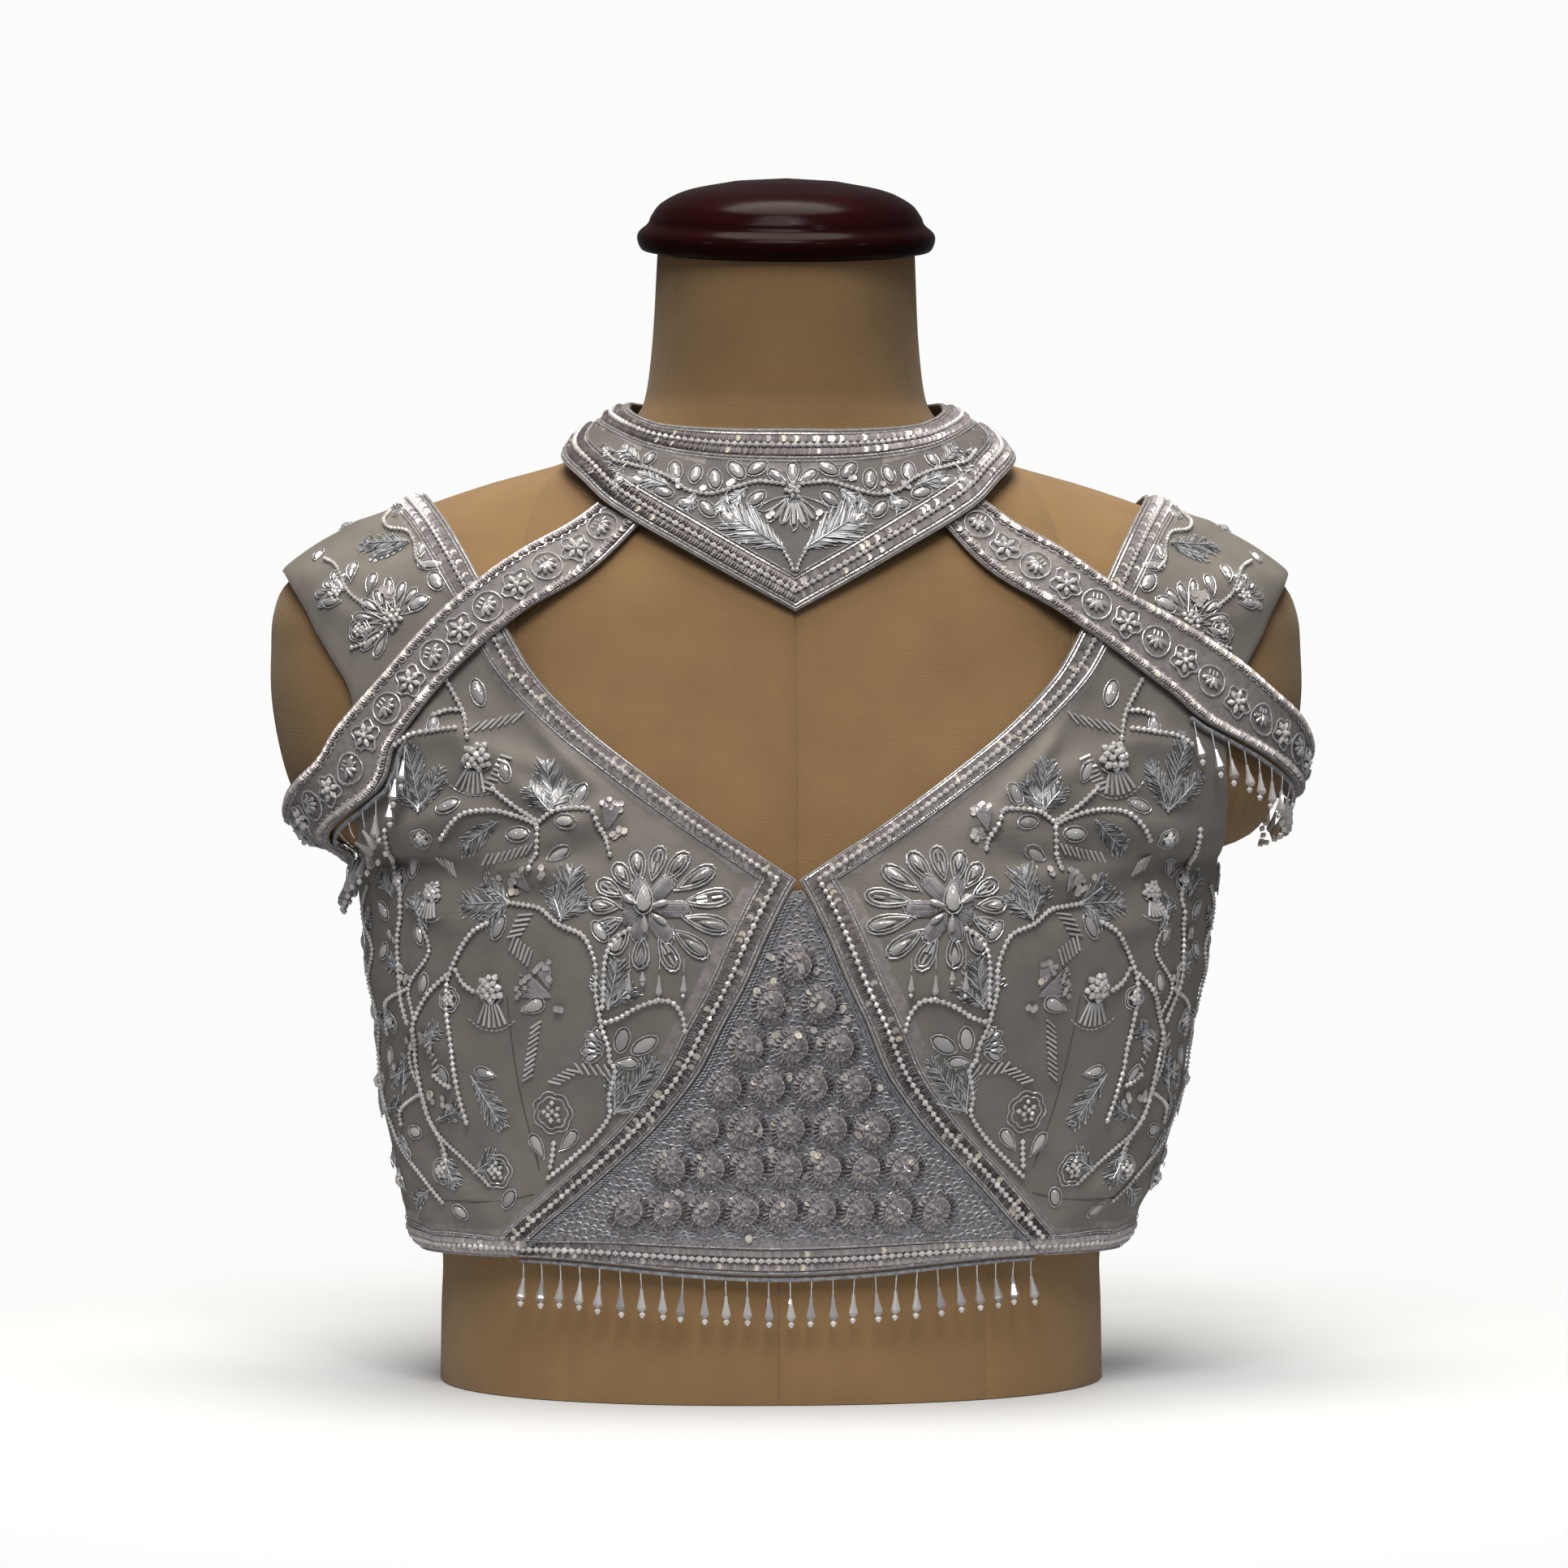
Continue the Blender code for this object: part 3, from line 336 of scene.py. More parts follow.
def bust(x, height, half_width):
    """Forward swell: two mounds, longer above than below, which fade out towards the side."""
    spread_z = np.where(height > BUST_Z, BUST_ABOVE, BUST_BELOW)
    level = np.exp(-(((height - BUST_Z) / spread_z) ** 2) / 2)
    mounds = sum(np.exp(-(((x - side * BUST_X) / BUST_SPREAD) ** 2) / 2) for side in (-1, 1))
    return BUST_SWELL * level * mounds * np.clip(1 - (x / half_width) ** 2, 0, 1)


def on_body(angle, height, ease=1.0):
    """Points at these angles round the body and these heights: the superellipse's radius, then the bust."""
    half_width, half_depth, middle, squareness = measures(height, ease)
    across, along = np.sin(angle), np.cos(angle)
    fullness = np.abs(across / half_width) ** squareness + np.abs(along / half_depth) ** squareness
    radius = fullness ** (-1 / squareness)
    x = radius * across
    y = middle - radius * along - np.where(along > 0, bust(x, height, half_width), 0)
    return np.stack([x, y, np.broadcast_to(height, x.shape)], axis=-1)


def angle_at(x, height, rear=False, ease=1.0):
    """Angle at which the level section reaches this x, on the front half or on the rear half."""
    half_width, half_depth, _, squareness = measures(height, ease)
    share = np.clip(np.abs(x) / half_width, 0, 1)
    depth = half_depth * (1 - share**squareness) ** (1 / squareness)
    angle = np.arctan2(np.minimum(np.abs(x), half_width), depth)
    return np.sign(x) * (math.pi - angle if rear else angle)


def outward(points, ease=1.0):
    """Unit direction out of the body: the gradient of the section's own equation, by central differences."""

    def fullness(where):
        """Superellipse's size through these points, as a share of the section's own size."""
        x, y, z = where[..., 0], where[..., 1], where[..., 2]
        half_width, half_depth, middle, squareness = measures(z, ease)
        y = y + np.where(y < middle, bust(x, z, half_width), 0)
        rise = np.abs(x / half_width) ** squareness + np.abs((y - middle) / half_depth) ** squareness
        return rise ** (1 / squareness)

    step = 0.4
    slopes = [fullness(points + step * axis) - fullness(points - step * axis) for axis in np.eye(3)]
    return unit(np.stack(slopes, axis=-1))


def folds(points, rows):
    """Rise of the soft folds: a round ridge or trough along each row's line, faded at its two ends."""
    x, z = points[..., 0], points[..., 2]
    total = np.zeros(x.shape)
    for x1, z1, x2, z2, spread, rise in rows:
        run = np.array([x2 - x1, z2 - z1])
        length = np.linalg.norm(run)
        along = ((x - x1) * run[0] + (z - z1) * run[1]) / length**2
        across = ((x - x1) * run[1] - (z - z1) * run[0]) / length
        fade = np.exp(-((np.clip(np.abs(along - 0.5) - FOLD_FULL, 0, None) / FOLD_FADE) ** 2))
        total += rise * fade * np.exp(-((across / spread) ** 2) / 2)
    return total


def ridge_height(x):
    """Height at which the shoulder's top line is this far from the middle, on the eased body."""
    heights = np.linspace(STRAP_FROM_Z, 383, 400)
    widths = measures(heights, 1.0)[0]
    return np.interp(-np.abs(x), -widths, heights)


def edge_at(rows, height):
    """The x at which the smooth curve through the rows reaches this height."""
    curve = smooth_rows(rows)
    return np.interp(height, curve[:, 1], curve[:, 0])


def lean(height):
    """Sideways shift of the figure at this height."""
    return np.interp(height, LEANS[:, 0], LEANS[:, 1])


def hem_height(angle):
    """Height of the hem at this angle round the body."""
    return np.interp(np.degrees(np.abs(angle)), HEMS[:, 0], HEMS[:, 1])


def on_circle(turn):
    """Points of the unit circle at these angles in radians: cosine and sine."""
    return np.column_stack([np.cos(turn), np.sin(turn)])


def along_curve(rows, shares):
    """Points of the smooth curve through the rows, at these shares of its height."""
    curve = smooth_rows(rows)
    height = curve[0, 1] + (curve[-1, 1] - curve[0, 1]) * shares
    return np.interp(height, curve[:, 1], curve[:, 0]), height


def tilt(points):
    """Leans the neck's rings forward, each turned about its own middle."""
    share = np.clip((points[..., 2] - TILT_FROM) / (TILT_TO - TILT_FROM), 0, 1)
    middle = measures(points[..., 2], 0)[2]
    leaned = points.copy()
    leaned[..., 2] += share * math.tan(math.radians(NECK_TILT_DEG)) * (points[..., 1] - middle)
    return leaned


def lengths_along(points):
    """Distance along each row of points, from its first one. The rows run down the last axis but one."""
    steps = np.linalg.norm(np.diff(points, axis=-2), axis=-1)
    start = np.zeros(steps.shape[:-1] + (1,))
    return np.concatenate([start, np.cumsum(steps, axis=-1)], axis=-1)


def resampled(line, places, *others):
    """The line, and what goes with it, at these distances along it."""
    length = lengths_along(line)
    results = []
    for values in (line, *others):
        results.append(np.stack([np.interp(places, length, column) for column in values.T], axis=-1))
    return results


# Finishes


def finish(name, dark, light, scale, roughness, bump=0.0, bump_scale=None, tinted=False, **sockets):
    """Principled finish. Its colour runs from dark to light with a soft noise, or with each bead's tint."""
    made = bpy.data.materials.new(name)
    made.use_nodes = True
    tree = made.node_tree
    shader = tree.nodes["Principled BSDF"]
    shader.inputs["Roughness"].default_value = roughness
    for socket, value in sockets.items():
        shader.inputs[socket.replace("_", " ")].default_value = value
    place = tree.nodes.new("ShaderNodeTexCoord")
    ramp = tree.nodes.new("ShaderNodeValToRGB")
    ramp.color_ramp.elements[0].color = (*dark, 1)
    ramp.color_ramp.elements[1].color = (*light, 1)
    if tinted:
        source = tree.nodes.new("ShaderNodeAttribute")
        source.attribute_name = "tint"
        tree.links.new(source.outputs["Fac"], ramp.inputs["Fac"])
    else:
        noise = tree.nodes.new("ShaderNodeTexNoise")
        noise.inputs["Scale"].default_value = scale
        noise.inputs["Detail"].default_value = 4
        ramp.color_ramp.elements[0].position = 0.3
        ramp.color_ramp.elements[1].position = 0.7
        tree.links.new(place.outputs["Object"], noise.inputs["Vector"])
        tree.links.new(noise.outputs["Fac"], ramp.inputs["Fac"])
    tree.links.new(ramp.outputs["Color"], shader.inputs["Base Color"])
    if bump:
        grain = tree.nodes.new("ShaderNodeTexNoise")
        grain.inputs["Scale"].default_value = bump_scale
        grain.inputs["Detail"].default_value = 3
        raised = tree.nodes.new("ShaderNodeBump")
        raised.inputs["Strength"].default_value = bump
        raised.inputs["Distance"].default_value = 0.0004
        tree.links.new(place.outputs["Object"], grain.inputs["Vector"])
        tree.links.new(grain.outputs["Fac"], raised.inputs["Height"])
        tree.links.new(raised.outputs["Normal"], shader.inputs["Normal"])
    return made


def add_weave(made, across_pitch, up_pitch, depth):
    """Adds a plain weave to a finish: two waves across the piece's own map, multiplied into its bump."""
    tree = made.node_tree
    place = tree.nodes.new("ShaderNodeTexCoord")
    waves = []
    for direction, pitch in (("X", across_pitch), ("Y", up_pitch)):
        wave = tree.nodes.new("ShaderNodeTexWave")
        wave.wave_type = "BANDS"
        wave.bands_direction = direction
        wave.inputs["Scale"].default_value = 0.314 / pitch
        wave.inputs["Distortion"].default_value = 0.6
        wave.inputs["Detail"].default_value = 1
        tree.links.new(place.outputs["UV"], wave.inputs["Vector"])
        waves.append(wave)
    joined = tree.nodes.new("ShaderNodeMath")
    joined.operation = "ADD"
    tree.links.new(waves[0].outputs["Fac"], joined.inputs[0])
    tree.links.new(waves[1].outputs["Fac"], joined.inputs[1])
    raised = tree.nodes.new("ShaderNodeBump")
    raised.inputs["Strength"].default_value = depth
    raised.inputs["Distance"].default_value = 0.0003
    tree.links.new(joined.outputs["Value"], raised.inputs["Height"])
    shader = tree.nodes["Principled BSDF"]
    first = shader.inputs["Normal"].links[0].from_node
    tree.links.new(first.outputs["Normal"], raised.inputs["Normal"])
    tree.links.new(raised.outputs["Normal"], shader.inputs["Normal"])


def tint_stops(made, stops):
    """More colours along a tinted finish's ramp. Each stop is a place and a colour."""
    ramp = next(node for node in made.node_tree.nodes if node.type == "VALTORGB").color_ramp
    for place, colour in stops:
        ramp.elements.new(place).color = (*colour, 1)


canvas = finish("canvas", (0.235, 0.139, 0.06), (0.278, 0.168, 0.073), 30, 0.92, 0.5, 1300, Sheen_Weight=0.12)
add_weave(canvas, 0.8, 0.7, 0.16)
lacquer = finish("lacquer", (0.008, 0.002, 0.002), (0.018, 0.003, 0.003), 14, 0.2, Specular_IOR_Level=0.05)
crepe = finish(
    "crepe", (0.188, 0.172, 0.157), (0.232, 0.212, 0.193), 60, 0.55, 0.5, 1700,
    Sheen_Weight=0.06, Sheen_Roughness=0.4, Specular_IOR_Level=0.3,
)
# Darker copy of the crepe for the collar: painted shade, so that the upturned collar comes out no brighter
# than the panels under the overhead lamp
shaded_collar_crepe = finish(
    "shaded_collar_crepe", (0.132, 0.12, 0.118), (0.168, 0.152, 0.148), 60, 0.55, 0.5, 1700,
    Sheen_Weight=0.06, Sheen_Roughness=0.4, Specular_IOR_Level=0.3,
)
tape = finish("border_tape", (0.2, 0.18, 0.175), (0.3, 0.272, 0.266), 350, 0.65, 0.6, 1400, Sheen_Weight=0.1)
thread = finish("silver_thread", (0.13, 0.133, 0.143), (0.62, 0.63, 0.67), 1, 0.42, tinted=True, Metallic=0.3)
mauve = finish("mauve_thread", (0.225, 0.2, 0.22), (0.34, 0.31, 0.34), 400, 0.65, 0.6, 1600, Sheen_Weight=0.4)
seam_thread = finish("seam_thread", (0.06, 0.054, 0.05), (0.1, 0.09, 0.084), 300, 0.8)
cord_finish = finish("zari_cord", (0.21, 0.215, 0.24), (0.5, 0.51, 0.56), 500, 0.4, 0.4, 1500, Metallic=0.3)
pearl = finish("pearl", (0.5, 0.485, 0.485), (0.78, 0.76, 0.76), 1, 0.22, tinted=True, Coat_Weight=0.7)
seed = finish("seed_bead", (0.42, 0.43, 0.47), (0.9, 0.91, 0.95), 1, 0.14, tinted=True, Metallic=0.3)
bugle = finish("bugle_bead", (0.42, 0.41, 0.43), (0.92, 0.9, 0.9), 1, 0.12, tinted=True, Metallic=0.4)
sequin = finish("sequin", (0.375, 0.345, 0.365), (0.95, 0.88, 0.74), 1, 0.26, tinted=True, Metallic=0.2)
tint_stops(sequin, ((0.55, (0.54, 0.5, 0.505)), (0.84, (0.66, 0.62, 0.61))))
crystal = finish(
    "crystal", (0.42, 0.4, 0.425), (0.95, 0.93, 0.92), 1, 0.06, tinted=True, Metallic=0.5, Coat_Weight=1.0,
)
metal = finish("hook_metal", (0.4, 0.4, 0.41), (0.5, 0.5, 0.52), 200, 0.3, 0.2, 900, Metallic=1.0)


# Meshes


def new_piece(name, points, faces, finishes, which=None, tint=None, uv=None, sharp_deg=40):
    """Mesh object from points in millimetres and lists of faces, moved sideways by the figure's lean."""
    placed = np.array(points, float)
    placed[:, 0] += lean(placed[:, 2])
    mesh = bpy.data.meshes.new(name)
    mesh.from_pydata((placed * MM).tolist(), [], faces)
    for made in finishes:
        mesh.materials.append(made)
    if which is not None:
        mesh.polygons.foreach_set("material_index", np.asarray(which, np.int32))
    if tint is not None:
        mesh.attributes.new("tint", "FLOAT", "POINT").data.foreach_set("value", np.asarray(tint, np.float32))
    if uv is not None:
        corners = np.zeros(len(mesh.loops), np.int32)
        mesh.loops.foreach_get("vertex_index", corners)
        mesh.uv_layers.new(name="cloth").data.foreach_set("uv", np.asarray(uv, np.float32)[corners].ravel())
    mesh.shade_smooth()
    mesh.set_sharp_from_angle(angle=math.radians(sharp_deg))
    mesh.update()
    made = bpy.data.objects.new(name, mesh)
    bpy.context.collection.objects.link(made)
    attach(made, "root")
    return made


def grid_faces(rows, columns, closed=False):
    """Quads of a grid of points, row by row, closed round its columns if asked."""
    index = np.arange(rows * columns).reshape(rows, columns)
    after = np.roll(index, -1, axis=1)
    width = columns if closed else columns - 1
    quads = np.stack([index[:-1, :width], after[:-1, :width], after[1:, :width], index[1:, :width]], axis=-1)
    return quads.reshape(-1, 4)


def facing_out(points, quads):
    """The quads, turned over if they face the body."""
    sample = points[quads]
    normal = np.cross(sample[:, 1] - sample[:, 0], sample[:, 3] - sample[:, 0])
    centre = sample.mean(axis=1)
    return quads if np.sum(normal * outward(centre)) >= 0 else quads[:, ::-1]


def shell(name, outer, inner, finishes, border=None):
    """Closed thin wall between two grids of points. border marks outer quads that take the second finish."""
    rows, columns = outer.shape[:2]
    points = np.vstack([outer.reshape(-1, 3), inner.reshape(-1, 3)])
    front = grid_faces(rows, columns)
    turned = facing_out(points, front)
    flipped = turned is not front
    back = turned[:, ::-1] + rows * columns
    index = np.arange(rows * columns).reshape(rows, columns)
    ring = np.concatenate([index[0, :], index[1:, -1], index[-1, -2::-1], index[-2:0:-1, 0]])
    after = np.roll(ring, -1)
    rim = np.stack([after, ring, ring + rows * columns, after + rows * columns], axis=-1)
    if flipped:
        rim = rim[:, ::-1]
    across = lengths_along(outer)
    up = lengths_along(outer.transpose(1, 0, 2)).T
    flat = np.stack([across, up], axis=-1).reshape(-1, 2)
    which = None
    if border is not None:
        which = np.concatenate([border.ravel(), 0 * border.ravel(), np.zeros(len(rim))])
    faces = np.vstack([turned, back, rim]).tolist()
    return new_piece(name, points, faces, finishes, which=which, uv=np.vstack([flat, flat]))


def tube(line, radius, sides=6, closed=False):
    """Points and faces of a round cord along a line: each ring stands square to the line's direction."""
    ahead = np.roll(line, -1, axis=0) - np.roll(line, 1, axis=0) if closed else np.gradient(line, axis=0)
    ahead = unit(ahead)
    side = unit(np.cross(ahead, outward(line)))
    up = np.cross(side, ahead)
    turn = np.arange(sides) * 2 * math.pi / sides
    radius = np.broadcast_to(radius, (len(line), 1))[..., None]
    ring = side[:, None] * np.cos(turn)[None, :, None] + up[:, None] * np.sin(turn)[None, :, None]
    points = (line[:, None] + ring * radius).reshape(-1, 3)
    quads = grid_faces(len(line), sides, closed=True)
    faces = quads.tolist()
    if closed:
        last = (len(line) - 1) * sides
        here = last + np.arange(sides)
        first = np.arange(sides)
        faces += np.stack([here, np.roll(here, -1), np.roll(first, -1), first], axis=-1).tolist()
    else:
        faces += [list(range(sides))[::-1], list(range((len(line) - 1) * sides, len(line) * sides))]
    return points, faces


def cords(name, lines, radius, sides, finishes, closed=False):
    """One piece from many cords."""
    all_points, all_faces, used = [], [], 0
    for line in lines:
        points, faces = tube(line, radius, sides, closed)
        all_points.append(points)
        all_faces += [[corner + used for corner in face] for face in faces]
        used += len(points)
    return new_piece(name, np.vstack(all_points), all_faces, finishes, sharp_deg=60)


# Bead shapes. Each lies along X with Z standing off the cloth, and is one unit in each half size.


def turned_bead(profile, sides, axis_x=False):
    """Rings of the profile's radius and height, closed by a point at each end where the radius is nought."""
    radius, height = (np.asarray(column, float) for column in zip(*profile))
    turn = (np.arange(sides) + 0.5) * 2 * math.pi / sides
    across, up = radius[:, None] * np.cos(turn), radius[:, None] * np.sin(turn)
    rings = np.stack([across, up, np.repeat(height[:, None], sides, axis=1)], axis=-1)
    points = rings.reshape(-1, 3)
    faces = grid_faces(len(profile), sides, closed=True).tolist()
    faces.append(list(range(sides))[::-1])
    faces.append(list(range(len(points) - sides, len(points))))
    if axis_x:
        points = points[:, [2, 0, 1]]
    return points, faces


def round_bead(sides, rings):
    """Ball from level rings, with small flat ends that stand for the hole."""
    turns = [math.radians(turn) for turn in np.linspace(-72, 72, rings)]
    return turned_bead([(math.cos(turn), math.sin(turn) * 1.05) for turn in turns], sides, True)


def cut_stone(outline):
    """Faceted stone: its outline as the girdle, a smaller one as the table on top, and a flat back."""
    outline = np.asarray(outline, float)
    levels = ((0.86, 0.0), (1.0, 0.35), (0.66, 0.8), (0.28, 1.0))
    count = len(outline)
    rings = [np.column_stack([outline * share, np.full(count, height)]) for share, height in levels]
    points = np.vstack(rings)
    faces = grid_faces(len(levels), count, closed=True).tolist()
    faces.append(list(range(count))[::-1])
    faces.append(list(range(3 * count, 4 * count)))
    return points, faces


def leaf_outline(count):
    """Pointed oval: half a sine wave on each side."""
    t = np.linspace(0, math.pi, count // 2, endpoint=False)
    upper = np.column_stack([-np.cos(t), np.sin(t) ** 1.1])
    return np.vstack([upper, -upper])[::-1]


def drop_outline(count):
    """Teardrop: a circle whose far side is drawn out to a point along -X."""
    t = np.arange(count) * 2 * math.pi / count
    from_point = math.pi - np.abs((t + math.pi) % (2 * math.pi) - math.pi)
    taper = np.sin(np.clip(from_point / 2, 0, math.pi / 2)) ** 0.9
    return np.column_stack([np.cos(t), np.sin(t) * taper])


def cupped_sequin(sides):
    """Thin cupped disc: a sharp rim ring, and a lower middle on both faces."""
    turn = np.arange(sides) * 2 * math.pi / sides
    rim = np.column_stack([np.cos(turn), np.sin(turn), np.full(sides, 0.16)])
    points = np.vstack([rim, [[0, 0, 0.02]], [[0, 0, -0.1]]])
    here = np.arange(sides)
    after = np.roll(here, -1)
    faces = np.column_stack([here, after, np.full(sides, sides)]).tolist()
    faces += np.column_stack([after, here, np.full(sides, sides + 1)]).tolist()
    return points, faces


SHAPES = {
    "pearl": (round_bead(7, 3), pearl),
    "seed": (round_bead(6, 2), seed),
    "bugle": (turned_bead([(1, -1), (1, 1)], 5, True), bugle),
    "sequin": (cupped_sequin(6), sequin),
    "marquise": (cut_stone(leaf_outline(10)), crystal),
    "drop": (cut_stone(drop_outline(12)), crystal),
    "thread": (turned_bead([(0.45, -1), (1, 0), (0.3, 1)], 4, True), thread),
    "pad": (turned_bead([(1, 0), (0.92, 0.45), (0.6, 0.85), (0.2, 1)], 8), mauve),
    "prism": (turned_bead([(0.3, -1), (0.42, -0.4), (1.0, 0.72), (0.45, 1)], 6, True), crystal),
}


def place(work, kind, centre, along, normal, half_sizes, tint):
    """Notes beads of one kind: their middles, their own X and Z directions, half sizes and tints."""
    count = len(centre)
    sizes = np.broadcast_to(np.asarray(half_sizes, float), (count, 3))
    work.setdefault(kind, []).append((centre, along, normal, sizes, np.broadcast_to(tint, (count,))))


def beadwork(name, work):
    """One joined mesh of all the beads noted, with a finish for each kind.

    A bead that has no direction, past a corner of its ground, is left out.
    """
    points, faces, which, tints, finishes, used = [], [], [], [], [], 0
    for kind, notes in work.items():
        (shape, shape_faces), made = SHAPES[kind]
        centre, along, normal, sizes, tint = (np.concatenate(column) for column in zip(*notes))
        along = unit(along - normal * np.sum(along * normal, axis=-1, keepdims=True))
        across = np.cross(normal, along)
        whole = np.linalg.norm(across, axis=-1) > 0.5
        centre, along, across, normal, sizes, tint = (
            part[whole] for part in (centre, along, across, normal, sizes, tint)
        )
        body = shape[None] * sizes[:, None]
        beads = (
            centre[:, None] + body[..., :1] * along[:, None] + body[..., 1:2] * across[:, None]
            + body[..., 2:] * normal[:, None]
        )
        starts = used + np.arange(len(centre)) * len(shape)
        for width in sorted({len(face) for face in shape_faces}):
            group = np.array([face for face in shape_faces if len(face) == width])
            moved = (group[None] + starts[:, None, None]).reshape(-1, width)
            faces += moved.tolist()
            which.append(np.full(len(moved), len(finishes)))
        points.append(beads.reshape(-1, 3))
        tints.append(np.repeat(tint, len(shape)))
        finishes.append(made)
        used += len(centre) * len(shape)
    return new_piece(
        name, np.vstack(points), faces, finishes, which=np.concatenate(which),
        tint=np.concatenate(tints), sharp_deg=30,
    )


def chance(seed_number):
    """Random draws of one piece, the same in each run."""
    return np.random.default_rng(seed_number)


def sparkle(random, count, share=0.08):
    """Tints for many beads: mostly middling, their own random tone, and this share of them bright, which is
    painted glint.
    """
    tint = random.uniform(0.12, 0.66, count)
    return np.where(random.random(count) < share, random.uniform(0.85, 1.0, count), tint)


def inset(grid, edge, distance):
    """Points at this distance along the cloth from one edge of a grid, one for each line from the edge."""
    lines = {
        "inner": grid, "outer": grid[:, ::-1],
        "low": grid.transpose(1, 0, 2), "top": grid[::-1].transpose(1, 0, 2),
    }[edge]
    length = lengths_along(lines)
    after = np.clip((length < distance).sum(axis=1), 1, lines.shape[1] - 1)
    row = np.arange(len(lines))
    start, end = length[row, after - 1], length[row, after]
    share = ((distance - start) / (end - start))[:, None]
    return lines[row, after - 1] * (1 - share) + lines[row, after] * share


def trim_border(work, grid, edge, rows, random, skip, bright=0.07):
    """Bead rows of a border at their distances from the edge, from end to end but for skip at each end."""
    for distance, kind, pitch, half_length, half_width, half_height, tip_deg in rows:
        line = inset(grid, edge, distance)
        total = lengths_along(line)[-1]
        places = np.arange(skip[0], total - skip[1], pitch)
        if kind == "seed":
            places = places + pitch / 2
        places = np.clip(places, 0, total)
        (spots,) = resampled(line, places)
        (ahead,) = resampled(line, np.minimum(places + 0.8, total))
        (behind,) = resampled(line, np.maximum(places - 0.8, 0))
        along = unit(ahead - behind)
        normal = outward(spots)
        count = len(spots)
        tint = sparkle(random, count, bright)
        rise = half_height * 0.8
        if kind == "sequin":
            tip = np.radians(tip_deg + random.uniform(-14, 10, count))[:, None]
            # Sequins tinted bright, the painted glints, lie flatter
            flat = tint > 0.85
            tip[flat] *= 0.35
            level, upright = along, normal
            along = level * np.cos(tip) + upright * np.sin(tip)
            normal = upright * np.cos(tip) - level * np.sin(tip)
            rise = 0.75
        elif tip_deg:
            side = np.cross(normal, along)
            swing = np.radians(tip_deg) * np.where(np.arange(count) % 2, 1, -1)[:, None]
            along = along * np.cos(swing) + side * np.sin(swing)
        half = np.array([half_length, half_width, half_height]) * random.uniform(0.9, 1.08, (count, 1))
        if kind == "sequin":
            half[:, 2] = half_height
        place(work, kind, spots + outward(spots) * rise, along, normal, half, tint)


def footing(ground, u, v):
    """Points of the ground, two square directions on it, the way out, and what turns lengths into u and v.

    With c and s the cosine and sine of the angle between the ground's own directions, a step (a, b) in
    millimetres is (a - b c / s) / per_u along u and b / (s per_v) along v.
    """
    step = 0.25
    centre = ground(u, v)
    along = (ground(u + step, v) - ground(u - step, v)) / (2 * step)
    up = (ground(u, v + step) - ground(u, v - step)) / (2 * step)
    per_u = np.maximum(np.linalg.norm(along, axis=-1), SMALLEST)
    per_v = np.maximum(np.linalg.norm(up, axis=-1), SMALLEST)
    normal = unit(np.cross(along, up))
    normal *= np.where(np.sum(normal * outward(centre), axis=-1, keepdims=True) < 0, -1, 1)
    along, up = unit(along), unit(up)
    skew = np.sum(along * up, axis=-1)
    square = np.sqrt(np.maximum(1 - skew**2, SMALLEST))
    up = (up - along * skew[..., None]) / square[..., None]
    return centre, along, up, normal, (1 / per_u, -skew / square / per_u, 1 / (square * per_v))


def lay(work, kind, ground, u, v, turn_deg, offsets, headings, half_sizes, rise, tint):
    """Beads of a motif at offsets in millimetres from (u, v), turned together, each with its heading."""
    offsets = np.asarray(offsets, float).reshape(-1, 2)
    turn = math.radians(turn_deg)
    steps = footing(ground, np.array([float(u)]), np.array([float(v)]))[4]
    along_a, along_b, up_b = (float(step[0]) for step in steps)
    a = offsets[:, 0] * math.cos(turn) - offsets[:, 1] * math.sin(turn)
    b = offsets[:, 0] * math.sin(turn) + offsets[:, 1] * math.cos(turn)
    centre, along, up, normal, _ = footing(ground, u + a * along_a + b * along_b, v + b * up_b)
    heading = (np.radians(np.broadcast_to(headings, (len(offsets),))) + turn)[:, None]
    direction = along * np.cos(heading) + up * np.sin(heading)
    lift = np.broadcast_to(np.asarray(rise, float), (len(offsets),))[:, None]
    place(work, kind, centre + normal * lift, direction, normal, half_sizes, tint)


def string_of(work, kind, ground, anchors, pitch, radius, random):
    """A string of beads on the smooth curve through the anchors, evenly spaced along the cloth."""
    curve = smooth_rows(anchors, 16)
    line = ground(curve[:, 0], curve[:, 1])
    total = lengths_along(line)[-1]
    places = np.arange(pitch / 2, total, pitch)
    spots, where = resampled(line, places, curve)
    centre, _, _, normal, _ = footing(ground, where[:, 0], where[:, 1])
    (ahead,) = resampled(line, np.minimum(places + 0.6, total))
    (behind,) = resampled(line, np.maximum(places - 0.6, 0))
    spots = centre + normal * (radius * 0.9)
    half = np.full((len(spots), 3), radius) * random.uniform(0.92, 1.06, (len(spots), 1))
    place(work, kind, spots, unit(ahead - behind), normal, half, sparkle(random, len(spots), 0.1))


def ring_of(work, kind, ground, u, v, turn_deg, outline, pitch, radius, random, rise):
    """Beads round a closed outline in millimetres about (u, v)."""
    pitch, radius = pitch * RING_PITCH, radius * RING_BEAD
    loop = np.vstack([outline, outline[:1]])
    total = lengths_along(loop)[-1]
    count = max(5, int(total / pitch))
    places = np.arange(count) * total / count
    spots, ahead = resampled(loop, places)[0], resampled(loop, (places + 0.3) % total)[0]
    heading = np.degrees(np.arctan2(*(ahead - spots).T[::-1]))
    lay(work, kind, ground, u, v, turn_deg, spots, heading, [radius] * 3, rise, sparkle(random, count, 0.1))


